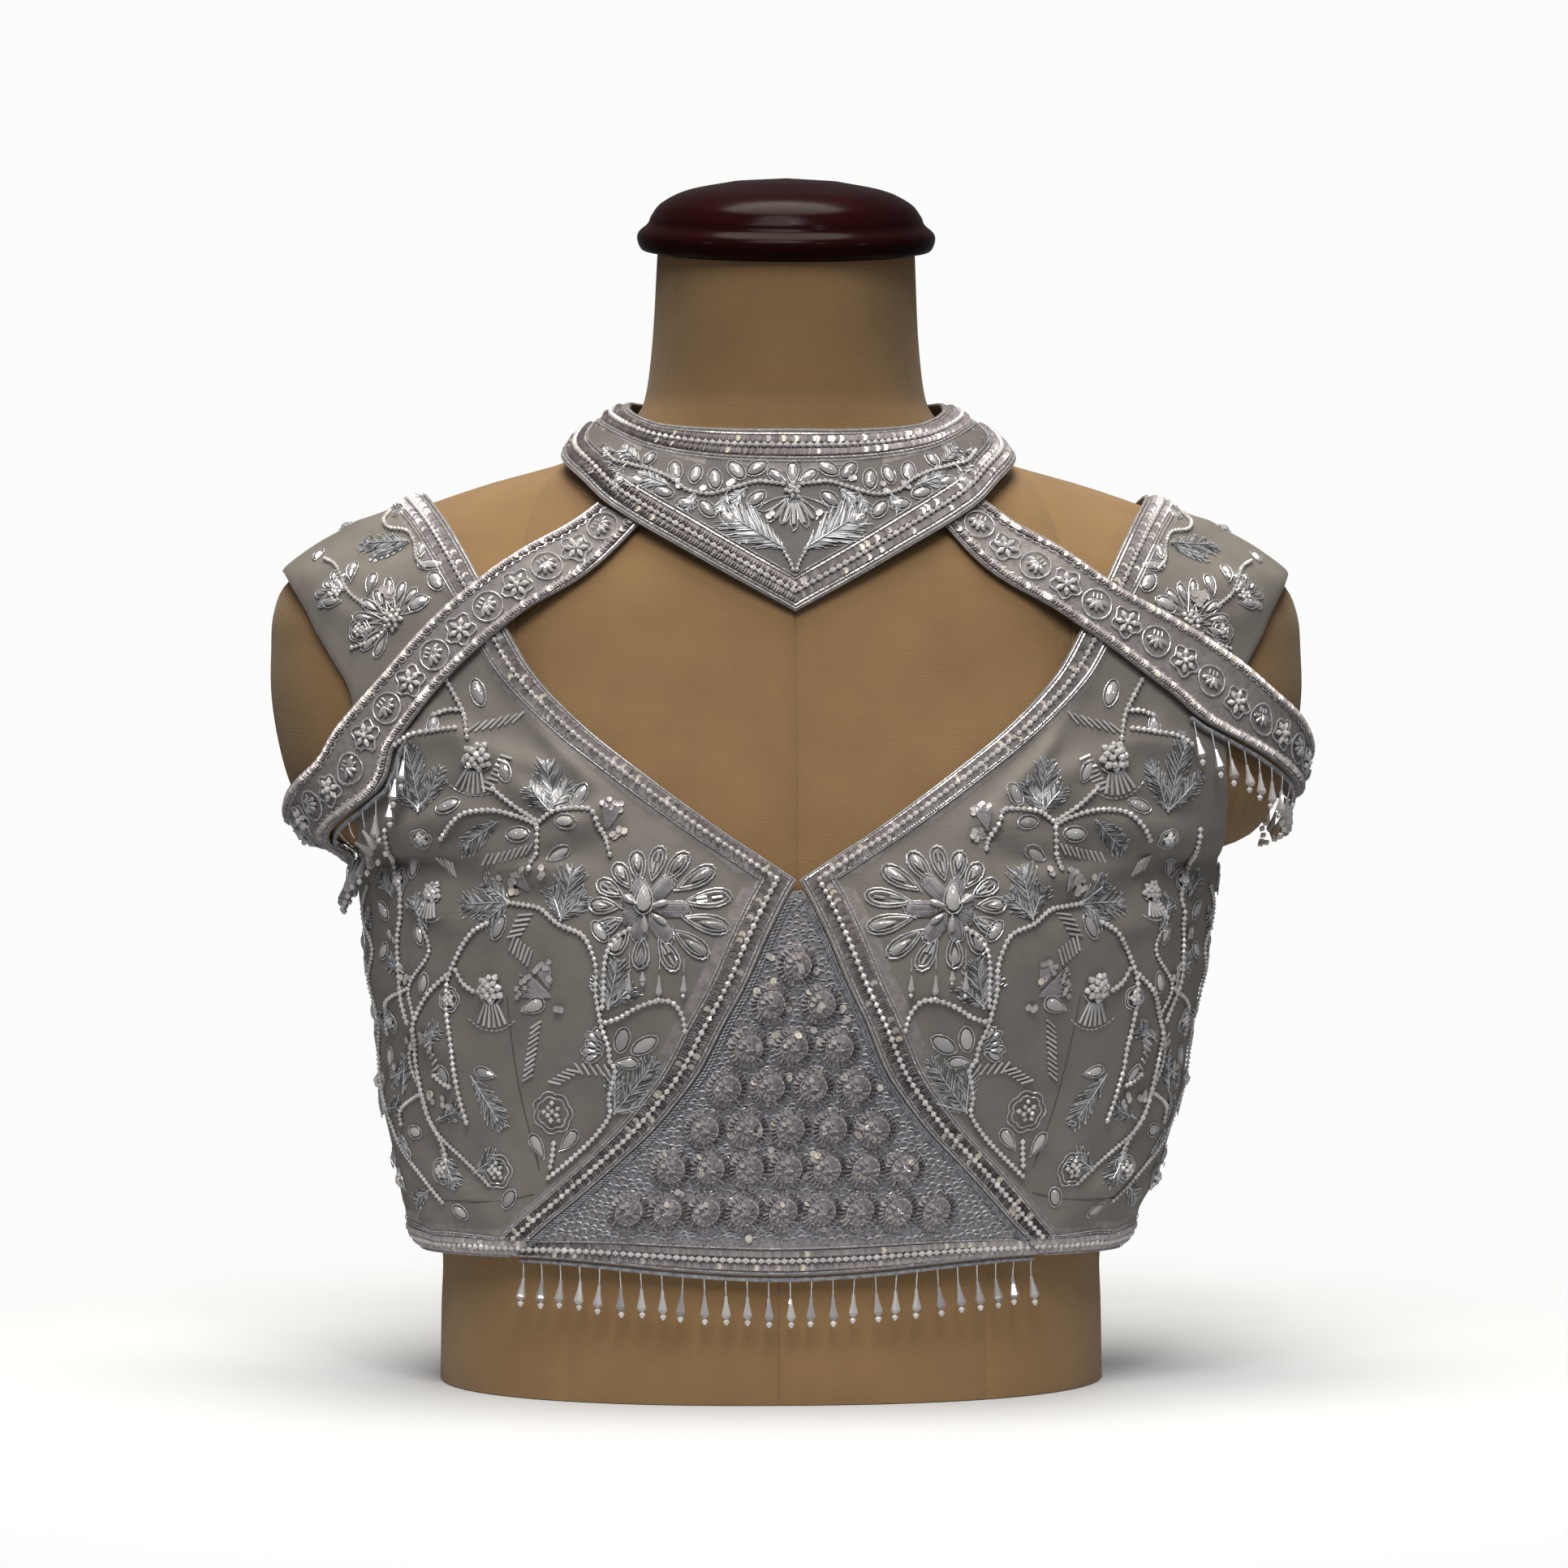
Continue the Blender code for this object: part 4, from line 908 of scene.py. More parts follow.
def leaf(work, ground, u, v, turn_deg, length, width, random):
    """Silver leaf from its base at (u, v): a midrib of beads, and threads that leave it on both sides."""
    count = max(6, int(length))
    t = (np.arange(count) + 0.4) / count
    half = width / 2 * np.sin(math.pi * np.clip(t, 0, 1) ** 0.75) ** 0.8 + 0.6
    for side in (-1, 1):
        for layer, reach_share in enumerate((1.0, 0.62)):
            slope = np.radians(38 + random.uniform(-7, 7, count))
            reach = half * reach_share / np.sin(slope) * random.uniform(0.78, 1.14, count)
            reach = np.minimum(reach, (1.06 - t) * length / np.cos(slope) + 1.2)
            x = t * length * 0.92 + reach / 2 * np.cos(slope)
            y = side * reach / 2 * np.sin(slope)
            sizes = np.column_stack([reach / 2, np.full(count, 0.4), np.full(count, 0.4)])
            lit = random.random(count) < 0.4
            tint = np.where(lit, random.uniform(0.7, 1, count), random.uniform(0, 0.45, count))
            lay(
                work, "thread", ground, u, v, turn_deg, np.column_stack([x, y]), side * np.degrees(slope),
                sizes, 0.35 + 0.5 * layer, tint,
            )
            if layer == 0:
                tips = [t * length * 0.92 + reach * np.cos(slope), side * reach * np.sin(slope)]
                tips = np.column_stack(tips)[::2]
                tint = sparkle(random, len(tips), 0.3)
                lay(work, "seed", ground, u, v, turn_deg, tips, side * 38, [0.62] * 3, 0.5, tint)
    beads = int(length * 0.85 / 1.8)
    x = np.arange(beads) * 1.8
    rib = np.column_stack([x, 0 * x])
    lay(work, "seed", ground, u, v, turn_deg, rib, 0, [0.85] * 3, 1.3, sparkle(random, beads, 0.35))


def lobed_leaf(work, ground, u, v, turn_deg, length, width, random):
    """Leaf of three lobes from one base: the middle one is the longest."""
    if width < 11.5:
        leaf(work, ground, u, v, turn_deg, length, width, random)
        return
    for swing, reach, spread in ((-36, 0.72, 0.6), (36, 0.72, 0.6), (0, 1.08, 0.78)):
        leaf(work, ground, u, v, turn_deg + swing, length * reach, width * spread, random)


def stone(work, kind, ground, u, v, turn_deg, length, width, random):
    """Crystal at (u, v), with a ring of seed beads round it."""
    shine = random.uniform(0.3, 1.0, 1)
    lay(work, kind, ground, u, v, turn_deg, (0, 0), 0, [length / 2, width / 2, 1.5], 0.2, shine)
    base = leaf_outline(16) if kind == "marquise" else drop_outline(16)
    outline = base * [length / 2 + 0.9, width / 2 + 0.9]
    ring_of(work, "seed", ground, u, v, turn_deg, outline, 1.3, 0.62, random, 0.5)


def bugle_row(work, ground, start, end, count, length, heading_deg, random):
    """Bugles side by side from start to end, each turned to the same heading, with a little play."""
    t = np.linspace(0, 1, count)
    u = start[0] + (end[0] - start[0]) * t
    v = start[1] + (end[1] - start[1]) * t
    centre, along, up, normal, _ = footing(ground, u, v)
    turn = np.radians(np.broadcast_to(heading_deg, (count,)) + random.uniform(-4, 4, count))[:, None]
    direction = along * np.cos(turn) + up * np.sin(turn)
    half = np.column_stack([np.full(count, length / 2), np.full(count, 0.5), np.full(count, 0.5)])
    place(work, "bugle", centre + normal * 0.6, direction, normal, half, random.uniform(0.3, 1, count))


def cluster(work, ground, u, v, radius, count, bead, random, dome=1.6, kind="pearl"):
    """Domed cluster of beads, spaced as seeds in a sunflower."""
    order = np.arange(count) + 0.5
    reach = radius * np.sqrt(order / count)
    turn = order * math.pi * (3 - math.sqrt(5))
    offsets = on_circle(turn) * reach[:, None]
    rise = bead * 0.8 + dome * (1 - (reach / radius) ** 2)
    sizes = np.full((count, 3), bead) * random.uniform(0.85, 1.1, (count, 1))
    lay(work, kind, ground, u, v, 0, offsets, np.degrees(turn), sizes, rise, sparkle(random, count, 0.15))


def petals(work, ground, u, v, first_deg, last_deg, count, inner, outer, width, random, stones=True):
    """Fan of petals about (u, v): each is a loop of seed beads with a crystal near its tip."""
    for number, turn in enumerate(np.linspace(first_deg, last_deg, count)):
        reach = outer * (1 + 0.08 * math.sin(number * 2.3))
        middle = (inner + reach) / 2
        long_half = (reach - inner) / 2
        outline = drop_outline(14) * [long_half, width / 2] + [middle, 0]
        ring_of(work, "seed", ground, u, v, turn, outline, 1.15, 0.6, random, 0.6)
        if stones:
            lay(
                work, "drop", ground, u, v, turn, (middle + long_half * 0.22, 0), 0,
                [long_half * 0.62, width * 0.3, 1.4], 0.2, random.uniform(0.2, 1, 1),
            )


def bell(work, ground, u, v, turn_deg, size, random):
    """Bell flower: a domed cluster with a fan of bugles hanging from it and a skirt of seed beads."""
    cluster(work, ground, u, v, size * 0.42, 16, size * 0.1 + 0.35, random)
    for angle in np.linspace(-26, 26, 6):
        turn = turn_deg + angle
        lay(
            work, "bugle", ground, u, v, turn, (size * 0.86, 0), 0, [size * 0.34, 0.6, 0.6], 0.7,
            random.uniform(0.4, 1, 1),
        )
    skirt = np.linspace(-40, 40, 11)
    offsets = on_circle(np.radians(skirt)) * size * 1.3
    lay(work, "seed", ground, u, v, turn_deg, offsets, skirt + 90, [0.7] * 3, 0.6, sparkle(random, 11, 0.3))
    brim = on_circle(np.radians(skirt * 1.4)) * size * 0.5
    lay(work, "seed", ground, u, v, turn_deg, brim, skirt + 90, [0.75] * 3, 0.8, sparkle(random, 11, 0.3))


def round_flower(work, ground, u, v, radius, count, random):
    """Small flower: a scalloped ring of seed beads round a cluster of pearls."""
    turn = np.linspace(0, 2 * math.pi, 60, endpoint=False)
    scallop = radius * (0.88 + 0.12 * np.abs(np.cos(count * turn / 2)))
    outline = on_circle(turn) * scallop[:, None]
    ring_of(work, "seed", ground, u, v, 0, outline, 1.2, 0.62, random, 0.6)
    ring_of(work, "seed", ground, u, v, 0, outline * 0.76, 1.25, 0.62, random, 0.8)
    cluster(work, ground, u, v, radius * 0.48, 9, 1.05, random, 1.2)


def loose_sequins(work, ground, u, v, radius, count, random, size=1.5):
    """Overlapping sequins scattered in a small disc, most of them tinted bright as painted glints."""
    reach = radius * np.sqrt(random.random(count))
    turn = random.uniform(0, 360, count)
    offsets = on_circle(np.radians(turn)) * reach[:, None]
    lay(
        work, "sequin", ground, u, v, 0, offsets, turn, [size] * 3, random.uniform(0.5, 1.4, count),
        random.uniform(0.5, 1.0, count),
    )


# Pieces


def dress_form():
    """Canvas cover on the form: rings of sections with a shallow groove along each seam."""
    heights = np.unique(np.concatenate([np.linspace(0, TILT_TO, 150), [2.0, TILT_FROM, 402]]))
    front_seam = angle_at(edge_at(FORM_SEAM_ROWS, heights), heights, ease=0.0)
    rear_seam = angle_at(edge_at(FORM_BACK_SEAM_ROWS, heights), heights, rear=True, ease=0.0)
    neck = smooth_step((heights - NECK_SEAM_FROM) / NECK_SEAM_OVER)
    front_seam = front_seam * (1 - neck) + NECK_SEAM_ANGLE * neck
    rear_seam = rear_seam * (1 - neck) + NECK_BACK_SEAM_ANGLE * neck
    level = np.zeros(len(heights))
    seams = [level, front_seam, level + math.pi / 2, rear_seam, level + math.pi]
    radius = np.maximum(measures(heights, 0.0)[0], 50)
    columns, depths = [], []
    for first, second in zip(seams, seams[1:]):
        near, far = first + GROOVE_HALF_WIDTH / radius, second - GROOVE_HALF_WIDTH / radius
        for share in np.linspace(0, 1, 12):
            columns.append(near + (far - near) * share)
            depths.append(0.0)
        columns.append(second)
        depths.append(GROOVE_DEPTH)
    half = np.stack(columns, axis=1)
    half_depth = np.array(depths)
    angle = np.concatenate([level[:, None], half, -half[:, -2::-1]], axis=1)
    depth = np.concatenate([[GROOVE_DEPTH], half_depth, half_depth[-2::-1]])
    grid = on_body(angle, heights[:, None] + 0 * angle, ease=0.0)
    grid = grid - outward(grid, 0.0) * (depth + COVER_GAP)[None, :, None]
    cover = tilt(grid)
    cover[heights <= SMALLEST, :, 2] = 0.0
    rows, columns = cover.shape[:2]
    points = cover.reshape(-1, 3)
    quads = facing_out(points, grid_faces(rows, columns, closed=True))
    base, top = list(range(columns)), list(range((rows - 1) * columns, rows * columns))
    faces = quads.tolist() + [base[::-1], top]
    round_length = np.cumsum(np.linalg.norm(np.diff(grid[60], axis=0, prepend=grid[60][:1]), axis=-1))
    around = np.broadcast_to(round_length, (rows, columns))
    uv = np.stack([around, np.repeat(heights[:, None], columns, 1)], -1)
    made = new_piece("form_canvas", points, faces, [canvas], uv=uv.reshape(-1, 2), sharp_deg=60)
    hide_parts("dress_form")


def neck_cap():
    """The profile's smooth curve turned about the neck's leaning axis."""
    profile = smooth_rows(CAP_PROFILE, 6)
    turns = np.arange(CAP_SIDES) * 2 * math.pi / CAP_SIDES
    radius, height = profile[:, :1], profile[:, 1:]
    local = np.stack(np.broadcast_arrays(radius * np.sin(turns), -radius * np.cos(turns), height), axis=-1)
    middle = float(measures(TILT_TO, 0)[2])
    turn = math.radians(NECK_TILT_DEG)

    def seated(points):
        """Points turned about X by the neck's tilt and set on its top."""
        x, y, z = points[..., 0], points[..., 1], points[..., 2] + SEAM
        leaned_y = middle + y * math.cos(turn) - z * math.sin(turn)
        leaned_z = TILT_TO + y * math.sin(turn) + z * math.cos(turn)
        return np.stack([x, leaned_y, leaned_z], axis=-1)

    rows = len(profile)
    points = np.vstack([seated(local).reshape(-1, 3), seated(np.array([[0, 0, float(CAP_CENTRE_HEIGHT)]]))])
    faces = grid_faces(rows, CAP_SIDES, closed=True).tolist()
    last = (rows - 1) * CAP_SIDES + np.arange(CAP_SIDES)
    faces += np.column_stack([last, np.roll(last, -1), np.full(CAP_SIDES, rows * CAP_SIDES)]).tolist()
    faces.append(list(range(CAP_SIDES))[::-1])
    made = new_piece("cap_lacquer", points, faces, [lacquer], sharp_deg=50)
    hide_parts("neck_cap")


# Distances from a seam and from the hem at which a panel's grid has lines, closer on the raised border
BORDER_PLACES = np.array([0, 1.2, 3, 5.2, 7.6, 10.2, 12.6, 15, 17])
HEM_PLACES = np.array([0, 1.2, 3, 5, 7, 9, 11, 13])


def column_shares(length, cells):
    """Shares across a row: the places of a seam border, then even cells. length holds one value per row."""
    border = BORDER_PLACES[None] / length[:, None]
    rest = np.linspace(0, 1, cells + 1)[1:]
    return np.concatenate([border, border[:, -1:] + (1 - border[:, -1:]) * rest], axis=1)


def body_panel(side, rear, inner_low, neckline, low_rows, mid_rows, top_rows, cells):
    """Grid of base points of one panel, from the hem up to the shoulder's top line, as in the solids."""
    hem_span = UNDERARM_Z - HEM_FRONT_Z
    low = np.concatenate([HEM_PLACES / hem_span, np.linspace(HEM_PLACES[-1] / hem_span, 1, low_rows)[1:]])
    mid = np.linspace(0, 1, mid_rows + 1)[1:]
    top = np.sin(np.linspace(0, math.pi / 2, top_rows + 1)[1:])

    low_x, low_z = inner_low(low)
    neck_z = neckline[0][1] + (STRAP_FROM_Z - neckline[0][1]) * mid
    neck_x = edge_at(neckline, neck_z)
    inner_x = np.concatenate([low_x, neck_x]) + SEAM
    inner_z = np.concatenate([low_z, neck_z])
    inner_angle = angle_at(inner_x, inner_z, rear)

    side_hem = float(hem_height(math.pi / 2))
    side_z = side_hem + (UNDERARM_Z - side_hem) * low
    side_angle = math.pi / 2 + SEAM / measures(side_z, 1.0)[1] * (1 if rear else -1)
    arm_z = UNDERARM_Z + (STRAP_FROM_Z - UNDERARM_Z) * mid
    arm_angle = angle_at(edge_at(ARMHOLE_ROWS, arm_z), arm_z, rear)
    limit = side_angle[-1]
    arm_angle = np.maximum(arm_angle, limit) if rear else np.minimum(arm_angle, limit)
    outer_angle = np.concatenate([side_angle, arm_angle])
    outer_z = np.concatenate([side_z, arm_z])

    reach = np.linalg.norm(on_body(inner_angle, inner_z) - on_body(outer_angle, outer_z), axis=-1)
    shares = column_shares(reach * ROUND_STRETCH, cells)
    angle = inner_angle[:, None] + (outer_angle - inner_angle)[:, None] * shares
    height = inner_z[:, None] + (outer_z - inner_z)[:, None] * shares
    to_hem = np.clip(1 - np.concatenate([low, np.ones(mid_rows)]), 0, 1)[:, None]
    base = hem_height(inner_angle[0]) + (side_hem - hem_height(inner_angle[0])) * shares[0]
    height = height + to_hem * (hem_height(angle[0]) - base)
    body = on_body(angle, height)

    top_z = STRAP_FROM_Z + (neckline[-1][1] - STRAP_FROM_Z) * top
    end_z = STRAP_FROM_Z + (ARMHOLE_ROWS[-1][1] - STRAP_FROM_Z) * top
    near, far = edge_at(neckline, top_z) + SEAM, edge_at(ARMHOLE_ROWS, end_z)
    shares = column_shares((far - near) * SHOULDER_STRETCH, cells)
    x = near[:, None] + (far - near)[:, None] * shares
    z = STRAP_FROM_Z + (ridge_height(x) - STRAP_FROM_Z) * top[:, None]
    strap = on_body(angle_at(x, z, rear), z)
    strap[-1, :, 1] += SEAM * (1 if rear else -1)

    grid = np.concatenate([body, strap])
    grid[..., 0] *= side
    return grid


def panel_shell(name, node, grid, fold_rows):
    """Thin shell of one panel with its folds and creases, a raised border, and a turned armhole edge."""
    direction = outward(grid)
    lift = folds(grid, fold_rows)
    from_seam = lengths_along(grid)
    from_hem = lengths_along(grid.transpose(1, 0, 2)).T
    from_armhole = from_seam[:, -1:] - from_seam
    near_edge = np.minimum(from_seam, from_hem) / (BORDER_WIDTH + BORDER_STEP)
    raised = BORDER_RISE * smooth_step((1 - near_edge) / 0.14)
    turned = 0.5 * np.clip(1 - from_armhole / 2.5, 0, 1) ** 2
    outer = grid + direction * (lift + CLOTH + raised - turned)[..., None]
    inner = outer - direction * (SHELL - 0.5 * turned)[..., None]
    border = (near_edge[:-1, :-1] < 0.93).astype(int)
    made = shell(name, outer, inner, [crepe, tape], border)
    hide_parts(node)
    return outer


def cloth_ground(rear, fold_rows):
    """Ground of a body panel: u is x and v is the height."""

    def ground(x, z):
        """The body's point at x and z, moved out by the cloth and its folds."""
        base = on_body(angle_at(x, z, rear), z)
        return base + outward(base) * (folds(base, fold_rows) + CLOTH)[..., None]

    return ground


def side_ground(fold_rows):
    """Ground round the body: u is the angle in degrees from the front's middle and v is the height."""

    def ground(angle_deg, z):
        """The body's point at this angle and height, moved out by the cloth and its folds."""
        base = on_body(np.radians(angle_deg), z)
        return base + outward(base) * (folds(base, fold_rows) + CLOTH)[..., None]

    return ground


def grid_ground(grid):
    """Ground of a fine grid: u runs along its columns and v along its rows, both as shares of 100."""
    rows, columns = grid.shape[:2]

    def ground(u, v):
        """The grid's four nearest points, weighed by how near each one is."""
        column = np.clip(np.asarray(u, float) / 100 * (columns - 1), 0, columns - 1.001)
        row = np.clip(np.asarray(v, float) / 100 * (rows - 1), 0, rows - 1.001)
        c, r = column.astype(int), row.astype(int)
        s, t = (column - c)[..., None], (row - r)[..., None]
        low = grid[r, c] * (1 - s) + grid[r, c + 1] * s
        high = grid[r + 1, c] * (1 - s) + grid[r + 1, c + 1] * s
        return low * (1 - t) + high * t

    return ground


# Motifs of a front panel, from the middle outwards and up. All are mirrored for the other side.
# Strings of pearls: pairs of x, height
VINES = (
    ((139, 221), (134, 227), (128, 231), (119, 232), (112, 231), (105, 228.5), (100, 226)),
    ((100, 226), (100, 217), (101, 208)),
    ((100, 227), (94, 231), (86, 231.5), (79, 231), (77, 226), (74, 221), (72, 215)),
    ((112, 196), (105, 195), (98, 193.5), (91, 188), (82, 184), (78, 177), (76.5, 171), (76.5, 163),
     (75, 155), (73.5, 148.5), (71, 142), (70, 136), (68, 133), (69, 127), (70, 121), (69.5, 115),
     (73.5, 108), (79, 101.5), (86, 94.5), (93, 88)),
    ((63.5, 187), (69, 183), (72.5, 177.5), (73.5, 171), (73.5, 164), (73.8, 157)),
    ((73.5, 151), (67.5, 153), (61, 157), (54, 159.5), (48, 159), (44, 154), (42.5, 147.5)),
    ((118, 188.5), (124, 185), (128, 180), (131.5, 173), (134, 165.5), (134, 157), (132.5, 147.5),
     (130.5, 138), (129, 128), (127, 118.5), (124, 109)),
    ((131.5, 170.5), (128, 164.5), (123, 161)),
    ((134, 168), (140, 161), (144, 152), (145.5, 143), (146, 133), (141, 113), (135, 102), (131, 92)),
    ((160, 226), (158.5, 215), (156, 205.5), (153, 196), (154.5, 179), (152, 161), (147, 148)),
    ((139, 128), (134, 124.5), (130, 123)),
    ((90.5, 104), (91, 97), (91.7, 92)),
    ((137, 284), (133, 277), (129.5, 270), (128, 263), (127, 258)),
    ((142, 268.5), (136, 271), (130, 271)),
    ((156, 257), (149, 260.5), (140, 262.5), (131, 263.5)),
    ((118, 241), (112, 236), (107, 232), (101, 228)),
)
# Silver leaves: x and height of the base, heading_deg outwards and up, length, width
LEAVES = (
    (94, 231, 82, 21, 13.5),
    (116, 228, -38, 20, 8),
    (111, 196, -2, 22, 13),
    (90, 190, 102, 20, 14),
    (71.5, 157, 104, 19, 12.5),
    (67.5, 116, 128, 27, 12),
    (122.5, 128, -124, 26, 9),
    (146.5, 232, 80, 32, 12),
    (157, 198, 40, 14, 7),
    (134, 97, -124, 17, 7),
    (150, 120, 100, 16, 7),
)
# Crystals: x, height, heading_deg, length, width, kind
STONES = (
    (108, 223, 0, 9, 4.4, "marquise"),
    (84, 237.5, 120, 8.5, 4.2, "marquise"),
    (88.5, 227, 10, 8.5, 3.8, "marquise"),
    (91.5, 215.5, 150, 9, 3.6, "marquise"),
    (114.5, 186.5, 120, 9, 4, "marquise"),
    (75.5, 185.5, 50, 8, 3.8, "marquise"),
    (100.5, 156.5, 160, 10, 6, "drop"),
    (66, 144.5, 105, 9, 4.6, "marquise"),
    (57.5, 142.5, 148, 10, 4.8, "marquise"),
    (64, 135.5, 180, 8, 4.6, "drop"),
    (118, 129.5, 10, 8, 4.4, "drop"),
    (135, 234, 160, 9, 4.4, "marquise"),
    (143, 164, 100, 7, 3.6, "marquise"),
    (124, 278, 68, 10, 4.4, "marquise"),
    (141, 266, -90, 7, 4.6, "drop"),
    (113, 247, 65, 8, 4.2, "marquise"),
    (97, 101.5, 60, 9, 5, "drop"),
    (85, 104, 130, 9, 5, "drop"),
    (150, 210, 90, 8, 4, "marquise"),
    (146, 183, 70, 7, 3.4, "marquise"),
)
# Rows of bugles: x, height at the start, x, height at the end, count, length, heading_deg
BUGLES = (
    (119.5, 214.5, 103, 217.5, 9, 5, 125),
    (138, 212, 133.5, 209, 5, 6.5, 86),
    (104, 191.5, 108, 183.5, 5, 7, 172),
    (109, 180.5, 102, 175, 6, 6.5, 110),
    (99, 149.5, 101.5, 128.5, 11, 5.5, 148),
    (71, 132.5, 82, 133, 5, 5.5, 60),
    (84, 132, 91, 127, 5, 5.5, 12),
    (125.5, 264, 108, 268, 7, 6.5, 136),
    (112, 252, 120, 240.5, 8, 5, 20),
    (140, 143, 137, 128, 7, 4.6, 150),
)
# Bell flowers: x, height, heading_deg of the bell, size
BELLS = ((117, 163, -90, 13), (123.5, 252.5, -78, 12.5), (141, 200, -80, 9))
# Small round flowers: x, height, radius, petals
ROUND_FLOWERS = (
    (91.5, 115, 8.6, 7), (112, 91, 7.2, 6), (132.5, 90, 5.6, 5), (146, 222, 4.6, 5),
)
# Sequins: x, height, spread, count
SEQUIN_SPOTS = (
    (109, 203, 3.4, 8), (114.5, 206, 0.6, 1), (96.5, 207.5, 1.8, 3), (94.5, 166.5, 1.2, 2),
    (90.5, 156, 1.6, 3), (69, 222, 3.2, 6), (148, 140, 3, 7),
    (150, 165, 3, 6), (140, 118, 2.6, 5), (153, 128, 3, 6),
)
# Fans of mauve thread: x, height, heading_deg, length, width
THREAD_FANS = (
    (103.5, 200, 60, 9, 9), (93, 160, 20, 15, 11), (94, 163, 70, 10, 8), (74, 224, 100, 11, 9),
    (138, 135, 80, 10, 7),
)

# Motifs of the shoulder, in the same order of values
SHOULDER_STONES = (
    (157, 351, 50, 9, 5, "marquise"), (141, 322, 50, 8, 4.6, "marquise"),
    (143, 328.5, 0, 10, 3.8, "marquise"), (147, 334.5, 80, 7, 4.2, "drop"),
    (190, 333.5, 60, 7, 5, "drop"), (174.5, 326, 75, 8, 4.6, "drop"),
    (179.5, 321, 35, 7, 4.2, "drop"), (182, 314.5, 0, 7, 4.6, "drop"), (167, 321.5, 95, 7.5, 4.6, "drop"),
    (148, 313.5, 140, 7, 4.2, "marquise"), (180, 346, 20, 7, 4, "marquise"),
)
SHOULDER_VINES = (
    ((161, 351.5), (163, 347), (160.5, 343), (153, 341.5), (150, 337.5), (149, 331), (145.5, 327)),
    ((187, 331.5), (182, 328.5), (179, 324.5), (175.5, 318), (168, 312)),
    ((175, 296), (166, 299), (159, 305)),
)
# Middles of the shoulder's fan flower and of the smaller one beside it
SHOULDER_FLOWER, SHOULDER_BLOOM = (158, 307), (181, 318)

# Middle of the cup's large flower, then its long petals: heading_deg, reach
FLOWER_MIDDLE = (59, 194)
FLOWER_PETALS = (
    (176, 21), (150, 21), (124, 21), (100, 23), (77, 25), (54, 27), (31, 31), (9, 34), (-13, 34),
    (-36, 31), (-61, 27), (-92, 23), (-125, 21), (-154, 20),
)
# Headings in degrees of its mauve petals, then the crystals between them: heading_deg, reach
MAUVE_PETALS = (160, 105, 50, 0, -50, -100, -150)
FLOWER_DROPS = ((15, 6), (-35, 7), (-85, 6), (150, 6))
# Drops that hang below it: x, height, length
FLOWER_HANGINGS = ((53, 176, 14), (44, 175, 12), (64, 178, 15), (59, 174, 7))

# Sprays at the side, where x hardly grows: angle_deg from the front, height
SIDE_VINES = (
    ((63, 203), (66, 190), (65, 176), (69, 162), (68, 148), (71, 134), (69, 120), (67, 106), (62, 95),
     (57, 84)),
    ((78, 202), (82, 190), (79, 176), (83, 160), (81, 145), (84, 130), (80, 114), (77, 100), (71, 88),
     (66, 77)),
    ((69, 162), (74, 156), (77, 148), (77, 141)),
    ((69, 120), (74, 113), (75, 106)),
)
# angle_deg, height, heading_deg, length, width
SIDE_LEAVES = (
    (65, 186, 60, 15, 8), (70, 168, 20, 13, 7), (67, 141, 150, 12, 7), (73, 128, -20, 13, 7),
    (66, 110, 160, 13, 7), (82, 184, 150, 13, 7), (84, 166, 60, 12, 7), (82, 150, 200, 12, 7),
    (84, 136, 50, 12, 7), (79, 112, 170, 14, 7), (73, 94, 30, 13, 7), (60, 90, 150, 14, 8),
    (69, 82, -30, 12, 7), (86, 108, 70, 12, 6), (87, 198, 90, 12, 6),
)
SIDE_STONES = (
    (74, 192, 40, 8, 4.2), (75, 176, -40, 7, 4), (77, 133, 100, 7, 4), (64, 128, 60, 7, 4),
    (72, 104, 0, 7, 4), (63, 74, 30, 7, 4), (88, 178, 80, 7, 4), (87, 150, 90, 7, 4),
    (82, 92, 40, 8, 4), (54, 80, 120, 7, 4),
)
# angle_deg, height, radius, petals
SIDE_FLOWERS = ((75, 148, 5.2, 5), (62, 158, 5.0, 5), (78, 84, 5.4, 5), (86, 122, 4.8, 5), (70, 204, 4.8, 5))
# angle_deg, height, spread, count
SIDE_SEQUINS = ((72, 182, 3, 5), (80, 124, 3, 5), (64, 117, 3, 5), (85, 90, 3, 5))


def side_spray(work, side, random):
    """Leaves, stones and small flowers along two hanging strings at the side of a front panel."""
    ground = side_ground(FRONT_RELIEF)
    for anchors in SIDE_VINES:
        string_of(work, "pearl", ground, [(side * angle, z) for angle, z in anchors], 2.0, 0.98, random)
    for angle, z, heading, length, width in SIDE_LEAVES:
        leaf(work, ground, side * angle, z, mirrored(heading, side), length, width, random)
    for angle, z, heading, length, width in SIDE_STONES:
        stone(work, "marquise", ground, side * angle, z, mirrored(heading, side), length, width, random)
    for angle, z, radius, count in SIDE_FLOWERS:
        round_flower(work, ground, side * angle, z, radius, count, random)
    for angle, z, spread, count in SIDE_SEQUINS:
        loose_sequins(work, ground, side * angle, z, spread, count, random)


def mirrored(heading, side):
    """The heading in degrees, or on the left side its mirror image."""
    return heading if side > 0 else 180 - heading


